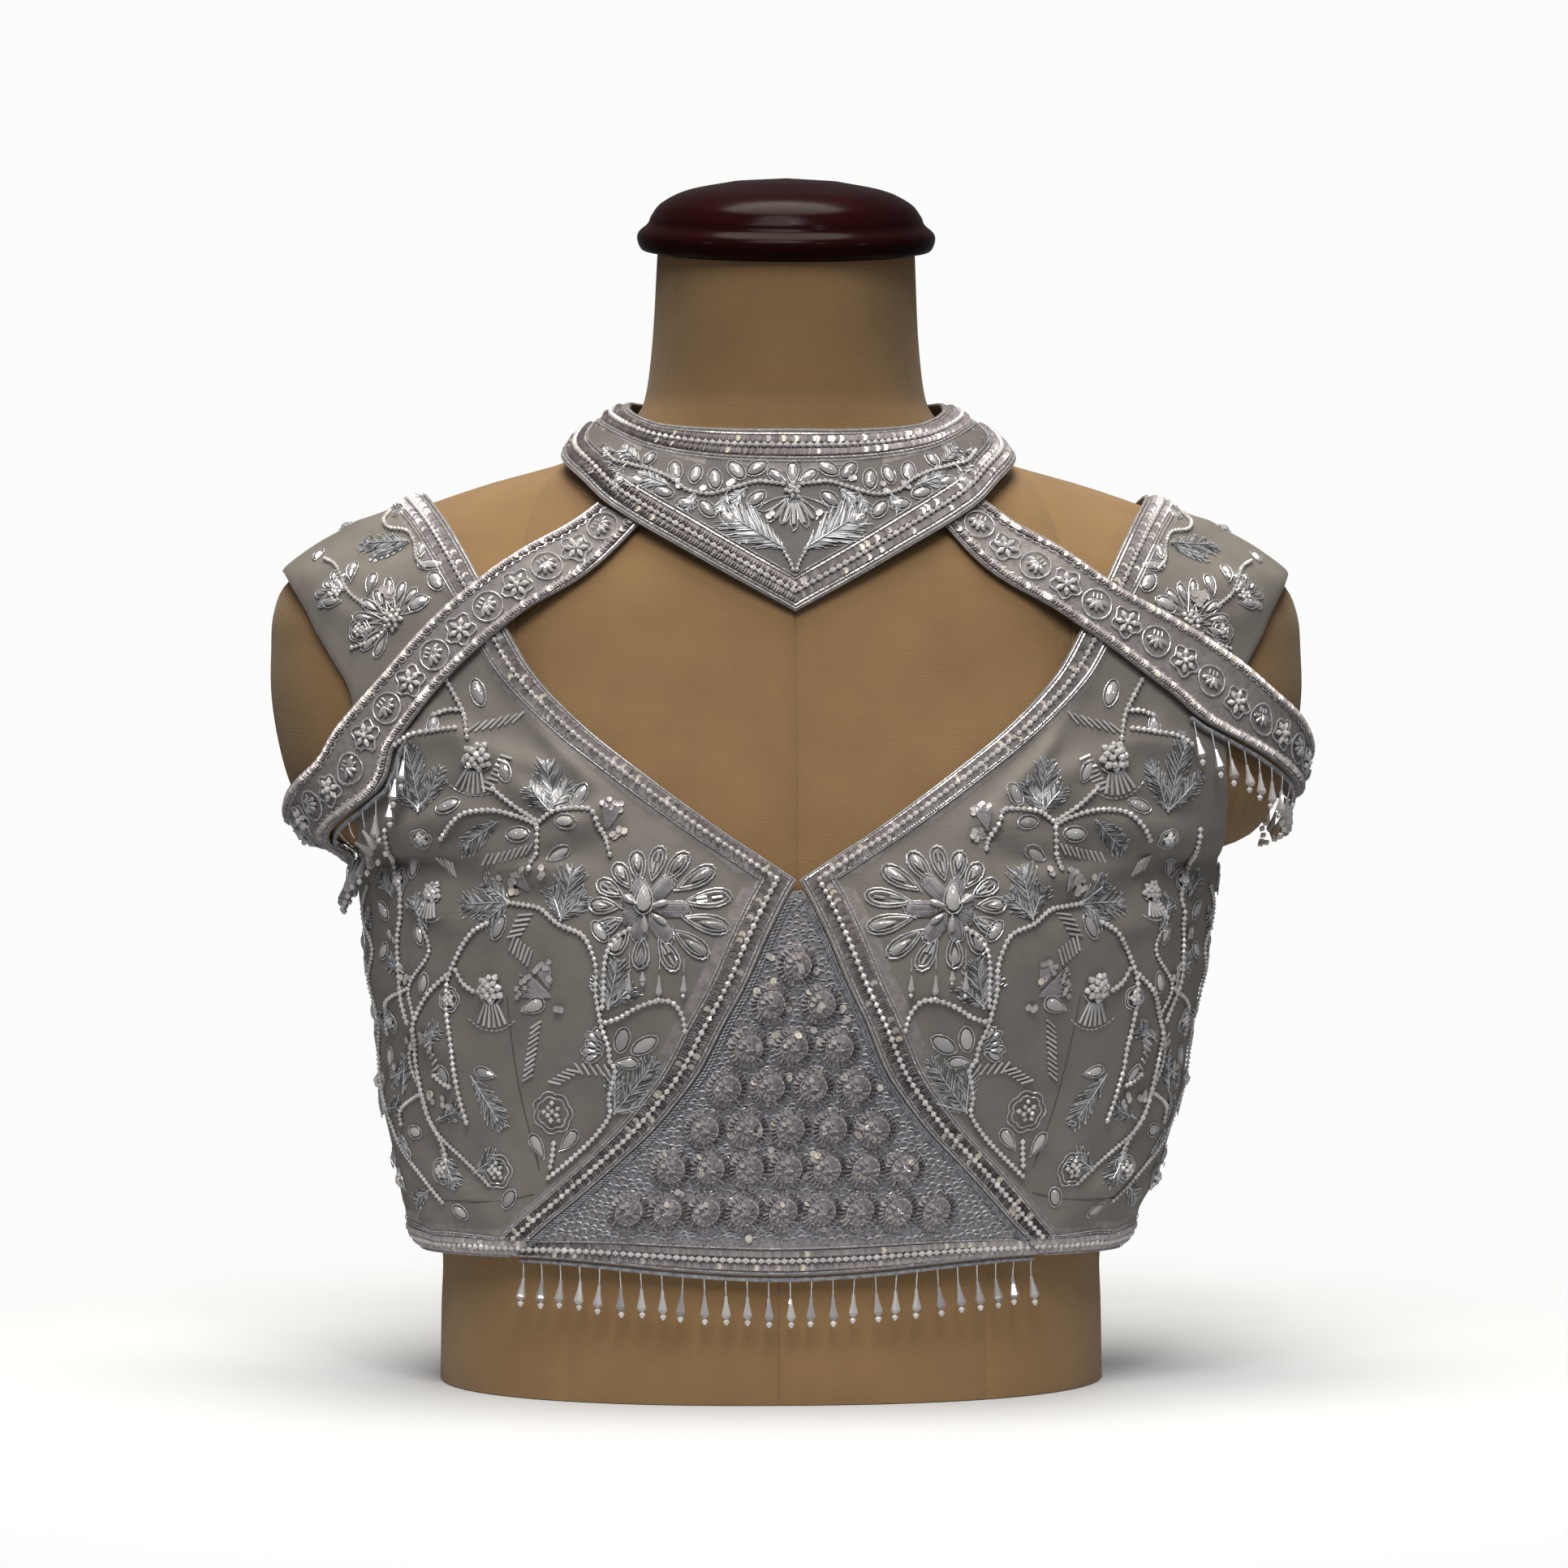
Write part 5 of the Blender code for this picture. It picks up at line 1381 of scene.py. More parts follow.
def fan_threads(work, ground, u, v, turn_deg, length, width, random):
    """Triangle of flat mauve threads that spreads from (u, v)."""
    count = 15
    spread = np.degrees(math.atan2(width / 2, length))
    angles = np.linspace(-spread, spread, count)
    reach = length * random.uniform(0.8, 1.1, count)
    way = on_circle(np.radians(angles))
    sizes = np.column_stack([reach / 2, np.full(count, 0.42), np.full(count, 0.5)])
    lay(work, "pad", ground, u, v, turn_deg, way * reach[:, None] / 2, angles, sizes, 0.2, 0.5)
    tips = way * reach[:, None]
    tint = random.uniform(0.2, 0.8, len(tips[::2]))
    lay(work, "sequin", ground, u, v, turn_deg, tips[::2], angles[::2], [1.2] * 3, 0.9, tint)
    tint = sparkle(random, len(tips[1::2]), 0.2)
    lay(work, "seed", ground, u, v, turn_deg, tips[1::2], 0, [0.7] * 3, 0.6, tint)


def big_flower(work, ground, side, random):
    """The cup's fan flower: long petals with crystals round a mauve middle, and hanging drops below."""
    u, v = side * FLOWER_MIDDLE[0], FLOWER_MIDDLE[1]
    for number, (angle, reach) in enumerate(FLOWER_PETALS):
        turn = mirrored(180 - angle, side)
        half_width = 3.1 + reach * 0.045
        for rim, bead, rise in ((0, 0.8, 0.8), (1.7, 0.7, 1.3)):
            outline = drop_outline(16) * [reach * 0.28 - rim, half_width - rim] + [reach * 0.73, 0]
            ring_of(work, "seed", ground, u, v, turn, outline, 1.4, bead, random, rise)
        if number % 3 == 1:
            spots = np.array([[reach * 0.66, -0.8], [reach * 0.66, 0.8], [reach * 0.84, 0]])
            tint = random.uniform(0.2, 0.8, 3)
            lay(work, "bugle", ground, u, v, turn, spots, 0, [2.0, 0.6, 0.6], 0.9, tint)
        else:
            tint = random.uniform(0.2, 1, 1)
            lay(work, "drop", ground, u, v, turn, (reach * 0.8, 0), 0, [reach * 0.15, 1.9, 2.3], 0.8, tint)
    for angle in MAUVE_PETALS:
        turn = mirrored(180 - angle, side)
        far = 1 + 0.35 * math.cos(math.radians(angle))
        lay(work, "pad", ground, u, v, turn, (8.2 * far, 0), 0, [5.4 * far, 3.6, 1.9], 0.2, 0.5)
        spread = np.linspace(-2.2, 2.2, 6)
        spots = np.column_stack([8.4 * far - 0.25 * spread**2, spread])
        sizes = np.column_stack([4.6 - 0.3 * spread**2, np.full(6, 0.42), np.full(6, 0.35)])
        tint = random.uniform(0, 0.35, 6)
        lay(work, "thread", ground, u, v, turn, spots, 0, sizes, 2.0 - 0.12 * spread**2, tint)
        outline = drop_outline(14) * [5.7 * far, 3.9] + [8.2 * far, 0]
        ring_of(work, "seed", ground, u, v, turn, outline, 1.5, 0.62, random, 0.9)
    for angle, reach in FLOWER_DROPS:
        turn = mirrored(180 - angle, side)
        lay(work, "drop", ground, u, v, turn, (reach, 0), 0, [3.6, 1.6, 1.6], 2.4, random.uniform(0.4, 1, 1))
    lay(work, "drop", ground, u, v + 4, -90, (0, 0), 0, [5.6, 3.6, 3.0], 2.2, 1.0)
    outline = drop_outline(20) * [6.5, 4.5]
    ring_of(work, "seed", ground, u, v + 4, -90, outline, 1.4, 0.7, random, 2.6)
    for x, z, drop in FLOWER_HANGINGS:
        start = float(side * x)
        beads = int(drop * 0.45 / 1.3)
        heights = z - np.arange(beads) * 1.3
        centre, _, up, normal, _ = footing(ground, np.full(beads, start), heights)
        place(work, "seed", centre + normal * 2.0, -up, normal, [0.65] * 3, sparkle(random, beads, 0.2))
        where = np.array([z - drop * 0.75])
        centre, _, up, normal, _ = footing(ground, np.array([start]), where)
        place(work, "prism", centre + normal * 2.4, -up, normal, [drop * 0.27, 1.4, 1.4], 0.7)
        centre, _, up, normal, _ = footing(ground, np.array([start]), where - drop * 0.36)
        place(work, "pearl", centre + normal * 2.2, -up, normal, [0.95] * 3, 0.6)


def front_motifs(work, side, random):
    """All the motifs of one front panel, and those of its shoulder."""
    ground = cloth_ground(False, FRONT_RELIEF)
    for anchors in VINES:
        string_of(work, "pearl", ground, [(side * x, z) for x, z in anchors], 2.4, 1.2, random)
    for anchors in SHOULDER_VINES:
        string_of(work, "pearl", ground, [(side * x, z) for x, z in anchors], 2.1, 1.0, random)
    for x, z, heading, length, width in LEAVES:
        lobed_leaf(work, ground, side * x, z, mirrored(heading, side), length, width, random)
    side_spray(work, side, random)
    leaf(work, ground, side * 152, 337.5, mirrored(-1, side), 25, 9, random)
    leaf(work, ground, side * 154, 336, mirrored(-24, side), 15, 6, random)
    for x, z, heading, length, width, kind in STONES + SHOULDER_STONES:
        stone(work, kind, ground, side * x, z, mirrored(heading, side), length, width, random)
    for x1, z1, x2, z2, count, length, heading in BUGLES:
        turn = mirrored(heading, side)
        bugle_row(work, ground, (side * x1, z1), (side * x2, z2), count, length, turn, random)
    for x, z, heading, size in BELLS:
        bell(work, ground, side * x, z, mirrored(heading, side), size, random)
    for x, z, radius, count in ROUND_FLOWERS:
        round_flower(work, ground, side * x, z, radius, count, random)
    round_flower(work, ground, side * 171, 303, 5.2, 5, random)
    petals(work, ground, side * 70.5, 140, mirrored(60, side), mirrored(-20, side), 5, 3, 11, 5, random)
    x, z = SHOULDER_FLOWER
    petals(work, ground, side * x, z, mirrored(-68, side), mirrored(150, side), 10, 4.5, 16.5, 5.6, random)
    cluster(work, ground, side * x, z, 4.4, 14, 1.15, random, 1.8)
    for x, z, spread, count in SEQUIN_SPOTS:
        loose_sequins(work, ground, side * x, z, spread, count, random)
    loose_sequins(work, ground, side * 161, 316, 3.5, 8, random, 2.0)
    x, z = SHOULDER_BLOOM
    petals(work, ground, side * x, z, mirrored(-40, side), mirrored(110, side), 5, 2.5, 9, 4.2, random)
    cluster(work, ground, side * x, z - 1, 3, 9, 1.0, random, 1.2)
    for x, z, heading, length, width in THREAD_FANS:
        fan_threads(work, ground, side * x, z, mirrored(heading, side), length, width, random)
    big_flower(work, ground, side, random)


# Cells of the panels' grids: below the arm, beside it, over the shoulder, and across
FRONT_CELLS = (46, 38, 14, 40)
BACK_CELLS = (34, 24, 14, 26)


def fronts():
    """Both front panels with their borders and motifs."""

    def centre_front(shares):
        """Inner edge below the neckline: the seam to the centre panel."""
        return along_curve(CENTRE_SEAM_ROWS, shares)

    for name, side, number in (("front_left", -1, 11), ("front_right", 1, 12)):
        random = chance(number)
        grid = body_panel(side, False, centre_front, NECKLINE_ROWS, *FRONT_CELLS)
        outer = panel_shell(f"{name}_cloth", name, grid, FRONT_RELIEF)
        work = {}
        trim_border(work, outer, "inner", BORDER_TRIM, random, (14, 0))
        trim_border(work, outer, "low", BORDER_TRIM, random, (1, 0))
        front_motifs(work, side, random)
        beadwork(f"{name}_beads", work)


def backs():
    """Both back panels with their borders, which go on from the fronts."""

    def centre_back(shares):
        """Inner edge below the neckline: the opening down the middle."""
        hem = float(hem_height(math.pi))
        return 0 * shares, hem + (BACK_NECKLINE_ROWS[0][1] - hem) * shares

    for name, side, number in (("back_left", -1, 21), ("back_right", 1, 22)):
        random = chance(number)
        grid = body_panel(side, True, centre_back, BACK_NECKLINE_ROWS, *BACK_CELLS)
        outer = panel_shell(f"{name}_cloth", name, grid, BACK_RELIEF)
        work = {}
        trim_border(work, outer, "low", BORDER_TRIM, random, (0, 0))
        neck = outer[len(HEM_PLACES) + BACK_CELLS[0] - 1 :]
        trim_border(work, neck, "inner", BORDER_TRIM, random, (0, 0))
        beadwork(f"{name}_beads", work)


def rosette_places():
    """Middles of the rosettes: x and height."""
    spots = []
    for level, count, spacing in ROSETTE_ROWS:
        spots += [((place - (count - 1) / 2) * spacing, level) for place in range(count)]
    return np.array(spots, float)


def pad_rise(x, z):
    """Rise of the padded rosettes: a squared cosine about each middle."""
    rise = np.zeros(np.shape(x))
    for u, v in rosette_places():
        distance = np.hypot(x - u, z - v) / ROSETTE_RADIUS
        rise = np.maximum(rise, ROSETTE_RISE * np.cos(np.clip(distance, 0, 1) * math.pi / 2) ** 2)
    return rise


def centre_ground(x, z):
    """Ground of the centre panel: the body's point at x and z, moved out by the cloth and its pads."""
    base = on_body(angle_at(x, z), z)
    return base + outward(base) * (CLOTH + pad_rise(x, z))[..., None]


def centre_panel():
    """Three-cornered panel: padded rosettes ringed by sequins, curled cord between them, and a bead hem."""
    random = chance(31)
    rows, columns = 74, 80
    shares = np.linspace(0, CENTRE_PANEL_TOP, rows + 1)
    edge_x, edge_z = along_curve(CENTRE_SEAM_ROWS, shares)
    edge_angle = angle_at(edge_x - SEAM, edge_z)
    angle = edge_angle[:, None] * np.linspace(-1, 1, columns + 1)
    height = np.repeat(edge_z[:, None], columns + 1, axis=1)
    height += (1 - shares / CENTRE_PANEL_TOP)[:, None] * (hem_height(angle[0]) - hem_height(edge_angle[0]))
    grid = on_body(angle, height)
    direction = outward(grid)
    outer = grid + direction * (CLOTH + pad_rise(grid[..., 0], grid[..., 2]))[..., None]
    cloth = shell("centre_panel_cloth", outer, grid + direction * (CLOTH - SHELL), [mauve])
    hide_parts("centre_panel")

    work = {}
    lines = []
    for u, v in rosette_places():
        for reach, count, size, tip in ROSETTE_RINGS:
            turn = np.linspace(0, 360, count, endpoint=False) + random.uniform(0, 20)
            spots = on_circle(np.radians(turn)) * reach
            centre, along, up, normal, _ = footing(centre_ground, u + spots[:, 0], v + spots[:, 1])
            heading = np.radians(turn + 90)[:, None]
            ahead = along * np.cos(heading) + up * np.sin(heading)
            lean_by = np.radians(tip + random.uniform(-12, 14, count))[:, None]
            tipped = normal * np.cos(lean_by) - ahead * np.sin(lean_by)
            ahead = ahead * np.cos(lean_by) + normal * np.sin(lean_by)
            tint = sparkle(random, count, 0.05)
            place(work, "sequin", centre + normal * 0.9, ahead, tipped, [size] * 3, tint)
        cluster(work, centre_ground, u, v, 1.3, 4, 0.75, random, 0.4, "seed")
        outline = on_circle(np.linspace(0, 2 * math.pi, 24, endpoint=False))
        ring_of(work, "seed", centre_ground, u, v, 0, outline * 4.4, 1.5, 0.62, random, 1.3)
        ring_of(work, "seed", centre_ground, u, v, 0, outline * 8.0, 1.9, 0.55, random, 0.4)
        around = np.linspace(0, 2 * math.pi, 72, endpoint=False)
        wave = 7.3 + 0.7 * np.cos(13 * around + random.uniform(0, 6))
        x, z = u + wave * np.cos(around), v + wave * np.sin(around)
        base = centre_ground(x, z)
        lines.append(base + outward(base) * 0.4)
    cords("centre_panel_scallops", lines, 0.42, 4, [cord_finish], closed=True)

    curls = []
    middles = rosette_places()
    for level in np.arange(65.5, 201, 2.3):
        half = float(edge_at(CENTRE_SEAM_ROWS, level)) - 2.2
        if half < 0.8:
            continue
        t = np.arange(-half, half, 0.4)
        phase = random.uniform(0, 6)
        x = t + 1.0 * np.sin(2.1 * t + phase)
        z = level + 1.15 * np.cos(2.1 * t + phase) + 0.7 * np.sin(0.4 * t + 2 * phase)
        clear = np.min(np.hypot(x[:, None] - middles[:, 0], z[:, None] - middles[:, 1]), axis=1) > 7.3
        clear &= np.abs(x) < edge_at(CENTRE_SEAM_ROWS, z) - 1.2
        stops = np.flatnonzero(np.diff(np.concatenate([[0], clear.astype(int), [0]])))
        for first, last in stops.reshape(-1, 2):
            if last - first >= 6:
                base = centre_ground(x[first:last], z[first:last])
                curls.append(base + outward(base) * 0.35)
    cords("centre_panel_curls", curls, 0.42, 4, [cord_finish])
    trim_border(work, outer, "low", HEM_TRIM, random, (1, 1))
    for _ in range(34):
        level = random.uniform(66, 180)
        half = float(edge_at(CENTRE_SEAM_ROWS, level)) - 4
        loose_sequins(work, centre_ground, random.uniform(-half, half), level, 1.5, 2, random, 1.4)
    beadwork("centre_panel_beads", work)


def seam_cords():
    """Twisted cord on both sides of each seam of the centre panel: two strands that wind round each other."""
    lines = []
    for side in (-1, 1):
        for offset in CORD_OFFSETS:
            x, z = along_curve(CENTRE_SEAM_ROWS, np.linspace(*CORD_SHARES, 420))
            x = side * (x - offset)
            base = centre_ground(x, z)
            normal = outward(base)
            ahead = unit(np.gradient(base, axis=0))
            across = np.cross(normal, ahead)
            turn = lengths_along(base) * 2 * math.pi / CORD_TURN
            for phase in (0, math.pi):
                wind = np.cos(turn + phase)[:, None] * across + np.sin(turn + phase)[:, None] * normal
                lines.append(base + normal * CORD_RISE + wind * CORD_WIND)
    cords("centre_seam_cord", lines, CORD_STRAND, 4, [cord_finish])


def collar_grid(around, down):
    """Outer points of the collar band, and the direction out of it, as in the solids."""
    curve = smooth_rows(COLLAR_ROWS)
    back_gap = COLLAR_BACK_GAP / float(measures(COLLAR_BACK_Z, 0)[1])
    angle = np.linspace(-math.pi + back_gap, math.pi - back_gap, around + 1)
    turned = np.degrees(np.abs(angle))
    edge_z, edge_off, top_z, top_off = (np.interp(turned, curve[:, 0], column) for column in curve.T[1:])
    ends = []
    for height, stand_off in ((top_z, top_off), (edge_z, edge_off)):
        point = on_body(angle, height, ease=0.0)
        ends.append(point + outward(point, 0.0) * stand_off[:, None])
    share = np.linspace(0, 1, down + 1)[:, None, None]
    grid = ends[0] + (ends[1] - ends[0]) * share
    tangent = np.gradient(grid, axis=1)
    fall = np.broadcast_to(ends[1] - ends[0], grid.shape)
    direction = unit(np.cross(fall, tangent))
    direction *= np.sign(np.sum(direction * grid * [1, 1, 0], axis=-1, keepdims=True))
    bulge = COLLAR_BULGE * np.sin(math.pi * share)
    return grid + direction * (CLOTH + bulge), direction


def collar():
    """Choker band with a point in front: beaded edges, a wavy vine, crystals, leaves and a flower."""
    random = chance(41)
    outer, direction = COLLAR
    fall = lengths_along(outer.transpose(1, 0, 2)).T
    border = (np.minimum(fall, fall[-1] - fall)[:-1, :-1] < BORDER_WIDTH - 1).astype(int)
    # The collar's cloth takes the darker copy of the crepe, which is painted shade
    cloth = shell("collar_cloth", outer, outer - direction * SHELL, [shaded_collar_crepe, tape], border)
    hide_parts("collar")
    work = {}
    trim_border(work, outer, "top", BORDER_TRIM[:5], random, (1, 1), 0.06)
    trim_border(work, outer[:, COLLAR_FRONT], "top", BORDER_TRIM[5:], random, (1, 1), 0.06)
    trim_border(work, outer, "low", BORDER_TRIM, random, (1, 1), 0.06)
    collar_motifs(work, random)
    beadwork("collar_beads", work)


def strap_path(front_rows, back_rows, steps):
    """Upper and lower edge of a cross strap, from the collar's front round the arm to the collar's back."""
    front, back = np.asarray(front_rows, float), np.asarray(back_rows, float)
    edges = []
    for column in (0, 2):
        ahead = angle_at(front[:, column], front[:, column + 1])
        behind = angle_at(back[-2::-1, column], back[-2::-1, column + 1], rear=True)
        height = np.concatenate([front[:, column + 1], back[-2::-1, column + 1]])
        curve = smooth_rows(np.stack([np.concatenate([ahead, behind]), height], axis=-1))
        place_on = np.linspace(0, len(curve) - 1, steps + 1)
        index = np.arange(len(curve))
        edges.append(np.stack([np.interp(place_on, index, part) for part in curve.T], axis=-1))
    return edges


def stand_off(points):
    """Room between the eased body and a strap: little on the chest, more where it crosses a panel."""
    share = (np.abs(points[..., 0]) - STRAP_LIFT_FROM) / (STRAP_LIFT_TO - STRAP_LIFT_FROM)
    return STRAP_NEAR + (STRAP_FAR - STRAP_NEAR) * smooth_step(share)


def hung_outward(points):
    """Direction in which a hanging strap stands off: level on arm and chest, square to the shoulder above."""
    direction = outward(points)
    share = np.clip((points[..., 2] - LEVEL_BELOW_Z) / (SQUARE_ABOVE_Z - LEVEL_BELOW_Z), 0, 1)
    direction[..., 2] *= share
    return unit(direction)


def cross_strap(name, side, path, draw):
    """Strap shell with beaded edges and a line of rosettes along its middle."""
    random = chance(draw)
    share = np.linspace(0, 1, 13)[:, None, None]
    route = path[0] + (path[1] - path[0]) * share
    grid = on_body(route[..., 0], route[..., 1])
    direction = hung_outward(grid)
    room = stand_off(grid)[..., None]
    grid, direction = grid * [side, 1, 1], direction * [side, 1, 1]
    outer = grid + direction * (room + CLOTH)
    cloth = shell(f"{name}_cloth", outer, outer - direction * SHELL, [tape])
    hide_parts(name)
    work = {}
    for edge in ("low", "top"):
        trim_border(work, outer, edge, STRAP_TRIM, random, (1, 1), 0.16)
    ground = grid_ground(outer)
    middle = ground(np.linspace(0, 100, 400), np.full(400, 50.0))
    length = lengths_along(middle)
    count = int(length[-1] / 14.2)
    for number, place_on in enumerate((np.arange(count) + 0.6) * length[-1] / count):
        u = float(np.interp(place_on, length, np.linspace(0, 100, 400)))
        strap_rosette(work, ground, u, 52.0, number % 2, random)
    beadwork(f"{name}_beads", work)


def strap_rosette(work, ground, u, v, kind, random):
    """Rosette of a strap: a looped ring round a large drop, or five pearls in a ring of loops."""
    ring = np.linspace(0, 2 * math.pi, 48, endpoint=False)
    circle = on_circle(ring)
    if kind == 0:
        ring_of(work, "seed", ground, u, v, 0, circle * 6.1, 1.5, 0.84, random, 0.8)
        spread = np.array([-70, -35, 0, 35, 70])
        way = random.uniform(60, 120)
        spots = on_circle(np.radians(spread)) * 2.4 - [1.6, 0]
        lay(work, "drop", ground, u, v, way, spots, spread, [2.6, 1.1, 1.6], 0.6, random.uniform(0.3, 1, 5))
        lay(work, "seed", ground, u, v, way, [(-3.2, 0), (-3.4, 1.7), (-3.4, -1.7)], 0, [0.95] * 3, 0.9, 0.7)
    else:
        wave = 1 + 0.14 * np.cos(5 * ring)
        ring_of(work, "seed", ground, u, v, 0, circle * wave[:, None] * 5.8, 1.5, 0.84, random, 0.8)
        turn = np.arange(6) * 60 + random.uniform(0, 60)
        spots = on_circle(np.radians(turn)) * 3.0
        lay(work, "pearl", ground, u, v, 0, spots, turn, [1.9, 1.25, 1.3], 1.1, random.uniform(0.3, 0.9, 6))
        lay(work, "pearl", ground, u, v, 0, (0, 0), 0, [1.35] * 3, 1.9, 0.7)


def walked(path):
    """Distance along a path of angles and heights on the body."""
    return lengths_along(on_body(path[:, 0], path[:, 1]))


def below(path, places, drop):
    """Angles and heights at these distances along a path, moved square to it and down by drop."""
    length = walked(path)
    angle, height = (np.interp(places, length, part) for part in path.T)
    radius = np.hypot(*on_body(angle, height)[:, :2].T)
    ahead, behind = ([np.interp(places + way, length, part) for part in path.T] for way in (1.5, -1.5))
    run, climb = (ahead[0] - behind[0]) * radius, ahead[1] - behind[1]
    size = np.hypot(run, climb)
    return angle + drop * climb / size / radius, height - drop * run / size


def fringe(name, path, stops, rooms, facing, side, draw):
    """Strip and bead strands: five seed beads, a cut drop and a pearl on each, hanging with a little sway."""
    random = chance(draw)
    work = {}
    places = np.linspace(stops[0] - 2 * STRAND_ROOT, stops[-1] + 2 * STRAND_ROOT, 160)
    line = on_body(*below(path, places, STRIP_GAP + STRIP_DEPTH / 2))
    line = (line + facing(line) * (rooms(line) + CLOTH / 2)[:, None]) * [side, 1, 1]
    points, faces = tube(line, 0.95, 6)
    root_angle, root_height = below(path, stops, STRIP_GAP + STRIP_DEPTH)
    count = len(stops)
    sway = random.uniform(-0.07, 0.07, count)
    stretch = random.uniform(0.93, 1.0, count)

    def hung(drop):
        """Points of the strands this far below their roots: out from the body, and sideways by their sway."""
        point = on_body(root_angle, root_height - drop)
        half = 1.2 + 0.9 * smooth_step((drop - 6) / 6)
        away = rooms(point) + CLOTH / 2 + half + STRAND_SWING * drop
        level = facing(point) * [1, 1, 0]
        tangent = unit(np.stack([-level[:, 1], level[:, 0], 0 * away], axis=-1))
        return (point + level * away[:, None] + tangent * (sway * drop)[:, None]) * [side, 1, 1]

    def add(kind, drop, half_sizes, tint):
        """One bead on each strand, lying along it."""
        centre = hung(drop * stretch)
        ahead = unit(hung(drop * stretch + 0.5) - centre)
        normal = unit(outward(centre) * [1, 1, 0])
        normal = unit(normal - ahead * np.sum(normal * ahead, axis=-1, keepdims=True))
        place(work, kind, centre, ahead, normal, half_sizes, tint)

    for drop in (0.4, 1.7, 3.0, 4.3, 5.6):
        add("seed", np.full(count, drop), [0.7, 0.78, 0.78], random.uniform(0.3, 1, count))
    add("prism", np.full(count, 10.6), [4.4, 2.0, 2.0], random.uniform(0.2, 1, count))
    add("pearl", np.full(count, 16.4), [1.35] * 3, random.uniform(0.4, 1, count))
    new_piece(f"{name}_strip", points, faces, [cord_finish])
    beads = beadwork(f"{name}_strands", work)
    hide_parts(name)


def collar_ground():
    """Ground of the collar's front: u is x and v is the height, found on the band by Newton's steps."""
    grid = COLLAR[0]
    count = grid.shape[1]
    index = np.arange(count)
    front = np.abs(index - (count - 1) / 2) < count * 0.22
    top, middle, edge = grid[0], grid[len(grid) // 2], grid[-1]
    slope = np.gradient(middle[:, 0])
    sample = grid_ground(grid)

    def ground(x, z):
        """The band's point whose column, once corrected three times, has this x at this height."""
        column = np.interp(x, middle[front, 0], index[front])
        for _ in range(3):
            top_x, top_z, edge_x, edge_z = (
                np.interp(column, index, part) for part in (top[:, 0], top[:, 2], edge[:, 0], edge[:, 2])
            )
            share = (top_z - z) / (top_z - edge_z)
            column = column + (x - top_x - (edge_x - top_x) * share) / np.interp(column, index, slope)
        return sample(column / (count - 1) * 100, share * 100)

    return ground


# Motifs of the collar's front: x and height, then heading_deg, length and width. Mirrored for the other side.
COLLAR_VINE = (
    (3, 360.4), (8, 361), (14, 361.5), (21.5, 359.4), (32.5, 356.4), (41.5, 358), (47.5, 362.5),
    (55, 366), (63, 368.5), (70, 373), (76, 380),
)
COLLAR_STEM = ((0.6, 325.5), (2, 329.5), (4, 333), (5.5, 336))
COLLAR_LEAVES = (
    (4.3, 334.7, 33, 27, 16), (18.5, 358.5, -45, 9, 5.5), (26, 356.5, -75, 9, 5.5), (49, 360, 25, 15, 8),
    (38, 357, -60, 8, 5), (60, 370, 40, 12, 6), (70, 375, 80, 10, 6), (66, 369, -10, 10, 5),
)
COLLAR_STONES = (
    (46, 366, 75, 8, 4.4), (38, 364.5, 100, 7, 4), (30.5, 362.5, 80, 8, 4.4), (22, 366, 50, 8, 4.4),
    (14, 367, 150, 8, 4.4), (14.5, 354.5, -40, 7.5, 4), (34, 350.5, 50, 7.5, 4), (42, 352.8, 5, 7.5, 4),
    (51, 357.5, 20, 7.5, 4), (25.5, 346.5, 40, 7, 4), (56, 371, 110, 6, 3.6), (62, 363, 30, 7, 3.8),
    (70, 368, 50, 6, 3.6),
)
COLLAR_SEQUINS = ((10, 348.5), (24, 361.5), (45, 360.5), (36, 359))


def collar_motifs(work, random):
    """Collar's front: a wavy vine on each side, crystals, two large leaves that meet, and a middle flower."""
    ground = collar_ground()
    for side in (-1, 1):
        string_of(work, "pearl", ground, [(side * x, z) for x, z in COLLAR_VINE], 2.2, 1.1, random)
        string_of(work, "pearl", ground, [(side * x, z) for x, z in COLLAR_STEM], 1.9, 0.95, random)
        for x, z, heading, length, width in COLLAR_LEAVES:
            leaf(work, ground, side * x, z, mirrored(heading, side), length, width, random)
        for x, z, heading, length, width in COLLAR_STONES:
            stone(work, "marquise", ground, side * x, z, mirrored(heading, side), length, width, random)
        for x, z in COLLAR_SEQUINS:
            loose_sequins(work, ground, side * x, z, 1.6, 2, random, 1.3)
    petals(work, ground, 0, 357, -150, -30, 7, 3, 15, 4.2, random, False)
    for heading in np.linspace(-125, -55, 5):
        tint = random.uniform(0.4, 1, 1)
        lay(work, "bugle", ground, 0, 357, heading, (9, 0), 0, [4.2, 0.7, 0.7], 0.8, tint)
    for heading in (35, 90, 145):
        turn = math.radians(heading)
        stone(work, "drop", ground, 7 * math.cos(turn), 361.5 + 3.5 * math.sin(turn), heading, 8, 4.6, random)
    cluster(work, ground, 0, 357.5, 3.2, 9, 1.1, random)


